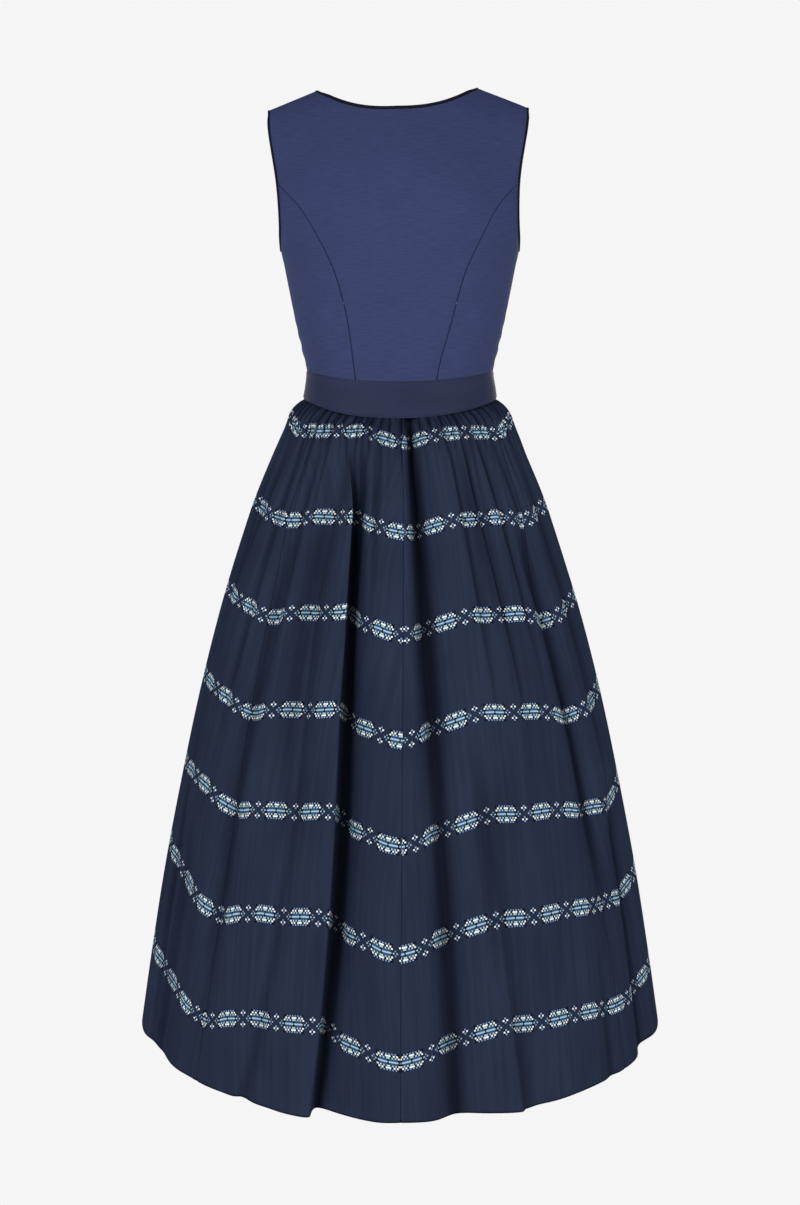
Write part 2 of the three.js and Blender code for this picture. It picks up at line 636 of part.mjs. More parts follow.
/** One gore of the skirt, gathered into the waistband and seamed to its neighbours. */
function makeGore(gore) {
  const outer = [];
  const inner = [];
  for (const share of [...FINE_ROWS, ...COARSE_ROWS]) {
    const perGather = FINE_ROWS.includes(share) ? 4 : 2;
    const columns = gore.gathers * perGather;
    const [row, back] = [[], []];
    for (let j = 0; j <= columns; j += 1) {
      const seamShift = HALF_GAP * ((j === 0 ? 1 : 0) - (j === columns ? 1 : 0));
      const point = skirtPoint(gore, j / perGather, share, 1.15 * seamShift);
      row.push(point);
      back.push(point.clone().addScaledVector(skirtNormal(gore, j / perGather, share), -SKIRT_WALL));
    }
    outer.push(row);
    inner.push(back);
  }
  return clothWall(gore.name, outer, inner, COLOURS.skirt, 0.55);
}

const dirndl = new THREE.Group();
dirndl.add(makeBodice(), makePipings(), makeWaistband(), ...GORES.map(makeGore));

export default dirndl;
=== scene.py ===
"""Looks of a sleeveless dirndl dress, hung in the shape that it has when worn.

The bodice, its pipings, the waistband and the gathered skirt are thin shells of cloth on the form of the
solids of the same names. Lengths are in metres, +Z is up, the back of the dress faces -Y, and the wearer's
right arm is at +X. The origin lies midway between the shoulders, at the height of the shoulder seams.
"""

from __future__ import annotations

import logging
import math
from dataclasses import dataclass
from enum import Enum
from typing import Callable, NamedTuple, Sequence, Union

import bmesh
import bpy
import numpy as np
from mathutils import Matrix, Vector

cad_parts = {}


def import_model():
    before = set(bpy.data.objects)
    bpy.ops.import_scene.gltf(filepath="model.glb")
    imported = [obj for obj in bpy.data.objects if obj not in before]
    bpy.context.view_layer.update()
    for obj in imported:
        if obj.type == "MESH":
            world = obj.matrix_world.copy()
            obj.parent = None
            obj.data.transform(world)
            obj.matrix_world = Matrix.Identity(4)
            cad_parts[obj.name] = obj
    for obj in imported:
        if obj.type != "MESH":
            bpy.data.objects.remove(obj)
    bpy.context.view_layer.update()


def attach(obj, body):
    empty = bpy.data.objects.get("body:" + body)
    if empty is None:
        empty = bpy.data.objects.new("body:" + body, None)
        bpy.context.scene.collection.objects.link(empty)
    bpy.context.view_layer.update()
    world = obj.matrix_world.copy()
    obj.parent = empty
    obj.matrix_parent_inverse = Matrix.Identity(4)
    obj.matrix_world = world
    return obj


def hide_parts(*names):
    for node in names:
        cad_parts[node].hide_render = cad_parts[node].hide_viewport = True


logging.basicConfig(level=logging.INFO, format="%(name)s: %(message)s")
LOG = logging.getLogger("dirndl")

CLOTH_LAYER = "cloth"
# Attribute that holds the painted shade of the skirt's fold valleys.
FOLD_SHADE_LAYER = "depth"
SEAM_GAP = 0.00034
TINY = 1e-6
Number = Union[float, "Value"]
Span = tuple[float, float]


class Half(Enum):
    """The two halves of the bodice, on either side of the shoulder line."""

    BACK = -1.0
    FRONT = 1.0


class Side(Enum):
    """The wearer's left and right, as the sign of X."""

    LEFT = -1.0
    RIGHT = 1.0


class Slot(Enum):
    """The dress's cloths, as the record names them."""

    BODICE = "bodice_cloth"
    BAND = "band_satin"
    SKIRT = "skirt_cloth"
    PIPING = "piping"


class Held(Enum):
    """How a piece of cloth is held."""

    STRETCHED = "stretched"
    GATHERED = "gathered"


# ---- Curves and tables ----


def smoothstep(value: np.ndarray, start: float, end: float) -> np.ndarray:
    """Rises smoothly from 0 at start to 1 at end."""
    share = np.clip((value - start) / (end - start), 0.0, 1.0)
    return share * share * (3.0 - 2.0 * share)


def mix(first: np.ndarray, second: np.ndarray, share: np.ndarray) -> np.ndarray:
    """Goes evenly from the first value to the second."""
    return first + (second - first) * share


def read_table(rows: Sequence[NamedTuple], column: str, position: np.ndarray) -> np.ndarray:
    """Reads a column of a table on a smooth curve through its rows.

    Args:
        rows: The rows, whose first field is the place that each stands for.
        column: The name of the field to read.
        position: The places to read it at.

    Returns:
        The values there, held at the table's ends.
    """
    ordered = sorted(rows, key=lambda row: row[0])
    places = np.array([row[0] for row in ordered])
    values = np.array([getattr(row, column) for row in ordered])
    before = np.maximum(np.arange(len(ordered)) - 1, 0)
    after = np.minimum(np.arange(len(ordered)) + 1, len(ordered) - 1)
    slopes = (values[after] - values[before]) / (places[after] - places[before])
    at = np.clip(np.asarray(position, float), places[0], places[-1])
    i = np.clip(np.searchsorted(places, at, side="left") - 1, 0, len(ordered) - 2)
    span = places[i + 1] - places[i]
    t = (at - places[i]) / span
    start = (1 + 2 * t) * (1 - t) ** 2 * values[i]
    end = t * t * (3 - 2 * t) * values[i + 1]
    leaving = t * (1 - t) ** 2 * span * slopes[i]
    arriving = t * t * (t - 1) * span * slopes[i + 1]
    return start + end + leaving + arriving


def unit(vectors: np.ndarray) -> np.ndarray:
    """Scales vectors, held in the last axis, to a length of one."""
    return vectors / np.linalg.norm(vectors, axis=-1, keepdims=True)


# ---- The form of the bodice ----


class BodiceSection(NamedTuple):
    """A level of the bodice: reach is its half width, and turn how far round the cloth goes, in degrees."""

    height: float
    reach: float
    turn: float


class BodiceDepth(NamedTuple):
    """How deep the bodice is behind and before the shoulder line, by the distance below that line."""

    below: float
    back: float
    front: float


class SeamPlace(NamedTuple):
    """A place on a princess seam."""

    height: float
    out: float


BODICE_SECTIONS = (
    BodiceSection(-0.010, 0.1685, 60),
    BodiceSection(-0.035, 0.1665, 59),
    BodiceSection(-0.060, 0.1630, 59),
    BodiceSection(-0.085, 0.1595, 60),
    BodiceSection(-0.110, 0.1570, 61.5),
    BodiceSection(-0.140, 0.1558, 64),
    BodiceSection(-0.165, 0.1560, 69),
    BodiceSection(-0.180, 0.1572, 77),
    BodiceSection(-0.197, 0.1580, 90),
    BodiceSection(-0.215, 0.1543, 90),
    BodiceSection(-0.254, 0.1468, 90),
    BodiceSection(-0.294, 0.1388, 90),
    BodiceSection(-0.333, 0.1298, 90),
    BodiceSection(-0.356, 0.1249, 90),
    BodiceSection(-0.375, 0.1270, 90),
    BodiceSection(-0.396, 0.1306, 90),
    BodiceSection(-0.416, 0.1330, 90),
)

BODICE_DEPTHS = (
    BodiceDepth(0.000, 0.0000, 0.0000),
    BodiceDepth(0.006, 0.0130, 0.0120),
    BodiceDepth(0.015, 0.0240, 0.0220),
    BodiceDepth(0.030, 0.0380, 0.0340),
    BodiceDepth(0.050, 0.0510, 0.0460),
    BodiceDepth(0.075, 0.0635, 0.0585),
    BodiceDepth(0.110, 0.0790, 0.0760),
    BodiceDepth(0.150, 0.0920, 0.0970),
    BodiceDepth(0.195, 0.0995, 0.1150),
    BodiceDepth(0.235, 0.1010, 0.1210),
    BodiceDepth(0.280, 0.1000, 0.1170),
    BodiceDepth(0.330, 0.0975, 0.1050),
    BodiceDepth(0.404, 0.0940, 0.0945),
    BodiceDepth(0.470, 0.0970, 0.0970),
)

PRINCESS_SEAMS = {
    Half.BACK: (
        SeamPlace(-0.366, 0.0525),
        SeamPlace(-0.336, 0.0575),
        SeamPlace(-0.300, 0.0650),
        SeamPlace(-0.258, 0.0750),
        SeamPlace(-0.220, 0.0870),
        SeamPlace(-0.172, 0.1110),
        SeamPlace(-0.140, 0.1300),
        SeamPlace(-0.110, 0.1570),
    ),
    Half.FRONT: (
        SeamPlace(-0.366, 0.0500),
        SeamPlace(-0.330, 0.0580),
        SeamPlace(-0.285, 0.0720),
        SeamPlace(-0.240, 0.0870),
        SeamPlace(-0.200, 0.0990),
        SeamPlace(-0.165, 0.1140),
        SeamPlace(-0.140, 0.1275),
        SeamPlace(-0.118, 0.1455),
    ),
}

Place = tuple[np.ndarray, np.ndarray]
Edge = Callable[[np.ndarray], Place]


@dataclass(frozen=True)
class BodiceForm:
    """The shape of the upper body of the dress, from the shoulders to the foot of the waistband.

    A place on it is a turn from the centre line of its half, in degrees, and a height.
    """

    neck_half_width: float = 0.106
    neck_point_height: float = 0.0155
    shoulder_tip: float = 0.1685
    shoulder_slope: float = 0.4
    shoulder_crown: float = 0.022
    back_neck_drop: float = 0.032
    back_neck_curve: float = 2.4
    front_neck_drop: float = 0.140
    front_neck_roundness: float = 0.75
    underarm: float = -0.197
    front_scoop: float = 0.012
    front_scoop_curve: float = 1.2
    squareness: float = 0.86
    waist_top: float = -0.355
    waist_top_dip: float = 0.0116
    waist_bottom: float = -0.391
    waist_bottom_dip: float = 0.022
    hang_out: float = 0.0042
    hang_right: float = 0.0018
    hang_left: float = 0.0034
    waist_draw: float = 0.0050
    armhole_draw: float = 0.0026
    armhole_foot: float = -0.2
    armhole_rise: float = 0.19
    upper_heights: Span = (-0.20, -0.03)
    waist_depths: Span = (0.27, 0.36)
    waist_middle: Span = (0.05, 0.12)
    left_shoulder: Span = (-0.05, 0.12)
    right_shoulder: Span = (0.09, 0.165)
    right_armhole: Span = (0.08, 0.15)
    side_turns: Span = (78.0, 90.0)
    turn_step: float = 1.5
    height_step: float = 0.0015

    def seam_top(self, half: Half) -> float:
        """Height at which a princess seam meets the armhole."""
        return PRINCESS_SEAMS[half][-1].height

    def shoulder_line(self, out: np.ndarray) -> np.ndarray:
        """Height of the shoulder line above a point this far out from the centre."""
        return self.neck_point_height - self.shoulder_slope * (np.abs(out) - self.neck_half_width)

    def half_width(self, height: np.ndarray) -> np.ndarray:
        """Half width of the whole form, taken round to the side even where the armhole is open."""
        reach = read_table(BODICE_SECTIONS, "reach", height)
        turn = np.radians(np.minimum(read_table(BODICE_SECTIONS, "turn", height), 90.0))
        return reach / np.sin(turn) ** self.squareness

    def turn_at(self, out: np.ndarray, height: np.ndarray) -> np.ndarray:
        """Turn of a point that lies this far out at a height."""
        share = np.clip(np.abs(out) / self.half_width(height), 0.0, 1.0)
        return np.degrees(np.arcsin(share ** (1.0 / self.squareness)))

    def settled(self, points: np.ndarray) -> np.ndarray:
        """The points as the dress hangs: the left shoulder a little lower and further out than the right."""
        x, height = points[..., 0], points[..., 2]
        upper = smoothstep(height, *self.upper_heights)
        outwards = self.hang_out * upper * (1 - smoothstep(x, *self.right_shoulder))
        rise = np.clip((height - self.armhole_foot) / self.armhole_rise, 0.0, 1.0)
        armhole = self.armhole_draw * np.sin(math.pi * rise) * smoothstep(x, *self.right_armhole)
        middle = 1 - smoothstep(np.abs(x), *self.waist_middle)
        waist = self.waist_draw * smoothstep(-height, *self.waist_depths) * middle
        moved = points.copy()
        moved[..., 0] -= outwards + waist + armhole
        moved[..., 2] -= upper * (self.hang_right + self.hang_left * smoothstep(-x, *self.left_shoulder))
        return moved

    def point(self, half: Half, turn: np.ndarray, height: np.ndarray, proud: float = 0.0) -> np.ndarray:
        """Point on the outside of the bodice.

        Args:
            half: Back or front.
            turn: Turn from that half's centre line, in degrees, positive towards the wearer's right.
            height: Height of the point.
            proud: How far the point stands off the bodice's face.

        Returns:
            The points, with X, Y and Z in the last axis.
        """
        sine = np.sin(np.radians(np.abs(turn)))
        cosine = np.maximum(np.cos(np.radians(turn)), 0.0)
        x = np.sign(turn) * (self.half_width(height) + proud) * sine**self.squareness
        below = np.maximum(self.shoulder_line(x) - height, 0.0)
        depth = read_table(BODICE_DEPTHS, half.name.lower(), below) + proud
        y = half.value * (SEAM_GAP / 12 + depth * cosine**self.squareness)
        return self.settled(np.stack([x, y, np.broadcast_to(height, x.shape)], axis=-1))

    def normal(self, half: Half, turn: np.ndarray, height: np.ndarray) -> np.ndarray:
        """Direction out of the cloth, which over the shoulder turns to point straight off its seam."""
        turned, raised = self.turn_step, self.height_step
        across = self.point(half, turn + turned, height) - self.point(half, turn - turned, height)
        up = self.point(half, turn, height + raised) - self.point(half, turn, height - raised)
        normal = -half.value * unit(np.cross(across, up))
        side = np.zeros_like(normal)
        side[..., 0] = np.sign(turn)
        crown = np.zeros_like(normal)
        crown[..., 0] = np.sign(turn) * self.shoulder_slope
        crown[..., 2] = 1.0
        below = self.shoulder_line(self.point(half, turn, height)[..., 0]) - height
        on_side = smoothstep(np.abs(turn), *self.side_turns)[..., None]
        on_crown = (1.0 - smoothstep(below, 0.0, self.shoulder_crown))[..., None]
        return unit(mix(mix(normal, side, on_side), unit(crown), on_crown))

    def band_top(self, turn: np.ndarray) -> np.ndarray:
        """Height of the waistband's upper edge."""
        return self.waist_top - self.waist_top_dip * np.cos(np.radians(turn)) ** 2

    def band_bottom(self, turn: np.ndarray) -> np.ndarray:
        """Height of the waistband's lower edge."""
        return self.waist_bottom - self.waist_bottom_dip * np.cos(np.radians(turn)) ** 2

    def neckline(self, half: Half, share: np.ndarray) -> Place:
        """Neckline of one half, from the centre (0) to the neck point (1)."""
        if half is Half.BACK:
            out = self.neck_half_width * share
            height = self.neck_point_height - self.back_neck_drop * (1 - share**self.back_neck_curve)
            return self.turn_at(out, height), height
        angle = (1.0 - share) * math.pi / 2
        drop = self.front_neck_drop * np.sin(angle) ** self.front_neck_roundness
        height = self.neck_point_height - drop
        out = self.neck_half_width * np.maximum(np.cos(angle), 0.0) ** self.front_neck_roundness
        return self.turn_at(out, height), height

    def shoulder(self, share: np.ndarray) -> Place:
        """Shoulder seam from the neck point (0) to the tip (1)."""
        out = mix(self.neck_half_width, self.shoulder_tip, share)
        height = self.shoulder_line(out)
        return self.turn_at(out, height), height

    def armhole(self, half: Half, share: np.ndarray, downwards: bool) -> Place:
        """Armhole from the princess seam (0) up to the shoulder tip (1), or down to the underarm (1)."""
        tip = self.shoulder_line(self.shoulder_tip)
        end = self.underarm if downwards else tip
        eased = np.sin(share * math.pi / 2) if downwards else share
        height = mix(self.seam_top(half), end, eased)
        rise = np.clip((height - self.underarm) / (tip - self.underarm), 0.0, 1.0)
        scooped = self.front_scoop * np.sin(math.pi * rise) ** self.front_scoop_curve
        scoop = scooped if half is Half.FRONT else 0.0
        reach = read_table(BODICE_SECTIONS, "reach", height)
        turn = np.where(height <= self.underarm, 90.0, self.turn_at(reach - scoop, height))
        return turn, height

    def princess(self, half: Half, share: np.ndarray) -> Place:
        """Princess seam from the waist (0) to its corner on the armhole (1)."""
        rows = PRINCESS_SEAMS[half]
        low = self.waist_top - self.waist_top_dip
        foot = self.turn_at(read_table(rows, "out", low), low)
        height = mix(self.band_top(foot), self.seam_top(half), share)
        turn = self.turn_at(read_table(rows, "out", height), height)
        corner, _ = self.armhole(half, np.zeros_like(share), False)
        return np.where(share >= 1.0, corner, turn), height


@dataclass(frozen=True)
class Patch:
    """A stretch of the bodice between four edges that meet at its corners."""

    bottom: Edge
    top: Edge
    near: Edge
    far: Edge

    def place(self, across: np.ndarray, up: np.ndarray) -> Place:
        """Place inside the patch, blended evenly between its edges.

        Args:
            across: Share of the way from the near edge to the far one.
            up: Share of the way from the bottom to the top.

        Returns:
            The turn and the height of each place.
        """
        none, whole = np.zeros(1), np.ones(1)
        blended = []
        for k in range(2):
            rows = mix(self.bottom(across)[k], self.top(across)[k], up)
            columns = mix(self.near(up)[k], self.far(up)[k], across)
            low = mix(self.bottom(none)[k], self.bottom(whole)[k], across)
            high = mix(self.top(none)[k], self.top(whole)[k], across)
            blended.append(rows + columns - mix(low, high, up))
        return blended[0], blended[1]


# ---- The form of the skirt ----


class SkirtSection(NamedTuple):
    """Half width of the skirt by the distance below the waistband."""

    drop: float
    half_width: float


class Fold(NamedTuple):
    """A large fold. Top, middle and hem are the angles that it passes through, before and after its half
    widths in degrees, depth is positive inwards, starts and ends are shares of the skirt's length, and lean
    is how far its near wall slides sideways over it."""

    top: float
    middle: float
    hem: float
    before: float
    after: float
    depth: float
    starts: float
    ends: float
    lean: float = 0.0


class Gore(NamedTuple):
    """A gore of the skirt between two seams, as angles round from the centre back. Twin start and end are
    the angles at the back whose bands its own repeat, and phase moves its motifs sideways."""

    name: str
    start: float
    end: float
    gathers: int
    twin_start: float
    twin_end: float
    phase: float


class BandLevel(NamedTuple):
    """How much lower than a level line the woven bands run, by the distance down the cloth: from the left
    side over the left seam, the large fold and the centre seam to the right seam and side."""

    down: float
    far_left: float
    left: float
    seam_left: float
    inner_left: float
    fold: float
    centre: float
    seam_right: float
    right: float
    far_right: float


class ClothLength(NamedTuple):
    """Distance along the cloth from the first woven band, by the share of the skirt's length."""

    share: float
    down: float


SKIRT_SECTIONS = (
    SkirtSection(0.000, 0.1280),
    SkirtSection(0.006, 0.1385),
    SkirtSection(0.014, 0.1480),
    SkirtSection(0.024, 0.1535),
    SkirtSection(0.061, 0.1705),
    SkirtSection(0.102, 0.1885),
    SkirtSection(0.142, 0.2040),
    SkirtSection(0.265, 0.2435),
    SkirtSection(0.390, 0.2765),
    SkirtSection(0.516, 0.3045),
    SkirtSection(0.643, 0.3300),
    SkirtSection(0.773, 0.3520),
    SkirtSection(0.863, 0.3660),
)

GORES = (
    Gore("skirt_back_right", 0, 55, 10, 0, 55, 0.004),
    Gore("skirt_side_right", 55, 118, 12, 55, 55, 0.010),
    Gore("skirt_front_right", 118, 180, 11, 55, 0, 0.0),
    Gore("skirt_front_left", 180, 243, 11, 0, -47, 0.0),
    Gore("skirt_side_left", 243, 313, 13, -47, -47, 0.012),
    Gore("skirt_back_left", 313, 360, 9, -47, 0, 0.0),
)

FOLDS = (
    Fold(-23.5, -16.3, -18.1, 2.6, 8.5, 0.026, 0.01, 2, 0.023),
    Fold(6.5, 10.2, 12, 4.4, 6.8, 0.018, 0, 2, 0.004),
    Fold(44, 56.5, 50, 4, 5.5, 0.017, 0.14, 0.86),
    Fold(-30, -31, -23, 4.5, 4.5, 0.010, 0.1, 0.7),
    Fold(-42, -46, -47, 3.5, 3, 0.010, 0.12, 1),
    Fold(-62, -80, -84, 4, 4, 0.009, 0, 0.42),
    Fold(-31, -19.5, -22, 4, 2.5, -0.009, 0.3, 2),
    Fold(22, 24, 26, 4, 3, -0.009, 0.45, 2),
    Fold(28, 33, 36, 3, 4, 0.008, 0, 0.4),
    Fold(68, 73, 76, 4, 4, 0.009, 0.05, 0.6),
    Fold(-68, -64, -66, 6.5, 7.5, 0.010, 0.6, 2),
    Fold(76, 72, 68, 5, 6, 0.014, 0.55, 2),
    Fold(96, 101, 99, 4, 5.5, 0.020, 0.04, 2),
    Fold(121, 124, 128, 5, 3.5, 0.015, 0.1, 0.9),
    Fold(140, 143, 146, 3, 5.5, 0.025, 0.02, 2, 0.008),
    Fold(164, 162, 166, 4, 4, 0.012, 0.2, 0.75),
    Fold(186, 182, 180, 4, 3, 0.018, 0, 2),
    Fold(203, 206, 203, 5, 3, 0.024, 0.03, 2),
    Fold(226, 222, 225, 4, 5, 0.013, 0.3, 2),
    Fold(241, 244, 242, 3.5, 4, 0.017, 0.02, 0.8),
    Fold(258, 260, 257, 4.5, 5.5, 0.019, 0.25, 2),
)

CREASES = (
    Fold(-22.5, -15.6, -17.3, 1.3, 2.6, 0.016, 0.08, 1),
    Fold(-35, -27, -34.5, 1.5, 2.8, 0.007, 0.05, 2, 0.002),
    Fold(24, 23, 26.3, 1.6, 4, 0.009, 0.5, 2, 0.005),
    Fold(8, 9.8, 12, 1.6, 2.6, 0.007, 0.3, 1.05),
    Fold(-28, -30, -33, 0.8, 1.1, 0.009, 0, 0.36),
    Fold(-18, -14, -12, 0.9, 1.3, 0.010, 0, 0.34),
    Fold(-10.7, -9, -6, 1.0, 1.5, 0.010, 0, 0.33),
    Fold(4.8, 9, 12, 2.1, 2.8, 0.018, -0.1, 0.6, 0.002),
    Fold(24, 29, 36, 1.1, 2.2, 0.008, -0.05, 0.5, 0.002),
    Fold(31, 38, 46, 1.1, 2.2, 0.008, -0.05, 0.55, 0.003),
    Fold(39, 47, 54, 1.2, 2.2, 0.007, -0.05, 0.5, 0.003),
    Fold(50, 58, 64, 1.3, 2.5, 0.007, 0, 0.6),
    Fold(-40, -44, -50, 1.1, 2.0, 0.007, 0, 0.5),
    Fold(-52, -58, -62, 1.3, 2.2, 0.007, 0, 0.6),
    Fold(84, 90, 92, 1.3, 2.5, 0.009, -0.05, 0.6),
    Fold(110, 112, 116, 1.0, 1.8, 0.008, 0, 0.5),
    Fold(131, 133, 136, 1.1, 2.0, 0.009, -0.05, 0.55, 0.003),
    Fold(152, 151, 155, 0.9, 1.6, 0.009, 0, 0.42),
    Fold(173, 175, 172, 1.0, 1.9, 0.008, 0, 0.5),
    Fold(194, 192, 196, 1.0, 1.8, 0.009, -0.05, 0.45, 0.003),
    Fold(214, 212, 209, 1.1, 1.6, 0.008, 0, 0.5),
    Fold(233, 231, 235, 1.0, 1.9, 0.009, 0, 0.42),
    Fold(250, 252, 250, 1.0, 1.5, 0.008, 0, 0.5),
    Fold(270, 268, 266, 1.2, 2.2, 0.009, -0.05, 0.6),
    Fold(284, 281, 279, 1.1, 1.8, 0.008, 0, 0.45),
)

BAND_LEVELS = (
    BandLevel(0.000, -0.001, 0.019, 0.010, 0.003, -0.004, 0.011, 0.020, 0.011, -0.001),
    BandLevel(0.131, 0.014, 0.023, 0.022, 0.008, -0.003, 0.020, 0.026, 0.021, 0.015),
    BandLevel(0.262, 0.007, 0.013, 0.020, 0.004, -0.008, 0.022, 0.029, 0.026, 0.010),
    BandLevel(0.393, -0.003, 0.007, 0.018, 0.001, -0.009, 0.027, 0.032, 0.028, 0.008),
    BandLevel(0.524, -0.008, 0.000, 0.016, 0.003, -0.008, 0.032, 0.028, 0.039, 0.008),
    BandLevel(0.655, -0.030, 0.009, 0.022, 0.003, -0.006, 0.033, 0.020, 0.032, 0.010),
    BandLevel(0.786, -0.015, 0.011, 0.027, 0.002, -0.006, 0.035, 0.022, 0.026, 0.011),
)

LEVEL_KNOTS = (
    (-82, "far_left", "far_left", 0.0),
    (-60, "left", "left", 0.0),
    (-47, "seam_left", "seam_left", 0.0),
    (-33, "inner_left", "inner_left", 0.0),
    (-18, "fold", "fold", 0.0),
    (-13, "fold", "centre", 0.45),
    (-7, "fold", "centre", 0.7),
    (0, "centre", "centre", 0.0),
    (7, "inner_left", "centre", 0.5),
    (14, "inner_left", "centre", 0.2),
    (22, "inner_left", "centre", -0.08),
    (30, "inner_left", "seam_right", 0.05),
    (40, "inner_left", "seam_right", 0.3),
    (55, "seam_right", "seam_right", 0.0),
    (70, "right", "right", 0.0),
    (87, "far_right", "far_right", 0.0),
)

CLOTH_LENGTHS = (
    ClothLength(-0.01, -0.034),
    ClothLength(0.0000, -0.025),
    ClothLength(0.0227, 0.000),
    ClothLength(0.1411, 0.131),
    ClothLength(0.2838, 0.262),
    ClothLength(0.4276, 0.393),
    ClothLength(0.5725, 0.524),
    ClothLength(0.7221, 0.655),
    ClothLength(0.8762, 0.786),
    ClothLength(1.0000, 0.897),
)


class CreaseRanges(NamedTuple):
    """What the fine creases below the waistband are drawn from. Place is a share of each one's own stretch of
    the round, drift and width are in degrees, reach is a share of the skirt's length, onset is the share that
    each takes to appear and full the share of its reach that it keeps all its depth on."""

    count: int = 84
    place: Span = (0.1, 0.9)
    drift: Span = (-9.0, 9.0)
    width: Span = (0.55, 1.15)
    reach: Span = (0.05, 0.26)
    depth: Span = (0.0012, 0.0034)
    widening: float = 2.2
    onset: float = 0.02
    full: float = 0.25


class RippleRanges(NamedTuple):
    """What the long soft ripples are drawn from. Middle and spread are shares of the skirt's length."""

    count: int = 40
    place: Span = (0.0, 1.0)
    drift: Span = (-5.0, 5.0)
    width: Span = (1.6, 3.4)
    middle: Span = (0.15, 1.05)
    spread: Span = (0.16, 0.42)
    depth: Span = (-0.0030, 0.0034)


class Waver(NamedTuple):
    """A wave that makes what repeats along the waist uneven: its size, and its radians to a unit of place."""

    size: float
    pace: float

    def at(self, place: np.ndarray, phase: float = 0.0) -> np.ndarray:
        """Height of the wave at a place."""
        return self.size * np.sin(self.pace * place + phase)


def angle_between(start: np.ndarray, end: np.ndarray) -> np.ndarray:
    """The smallest angle from one direction to another, in degrees."""
    return np.mod(end - start + 180.0, 360.0) - 180.0


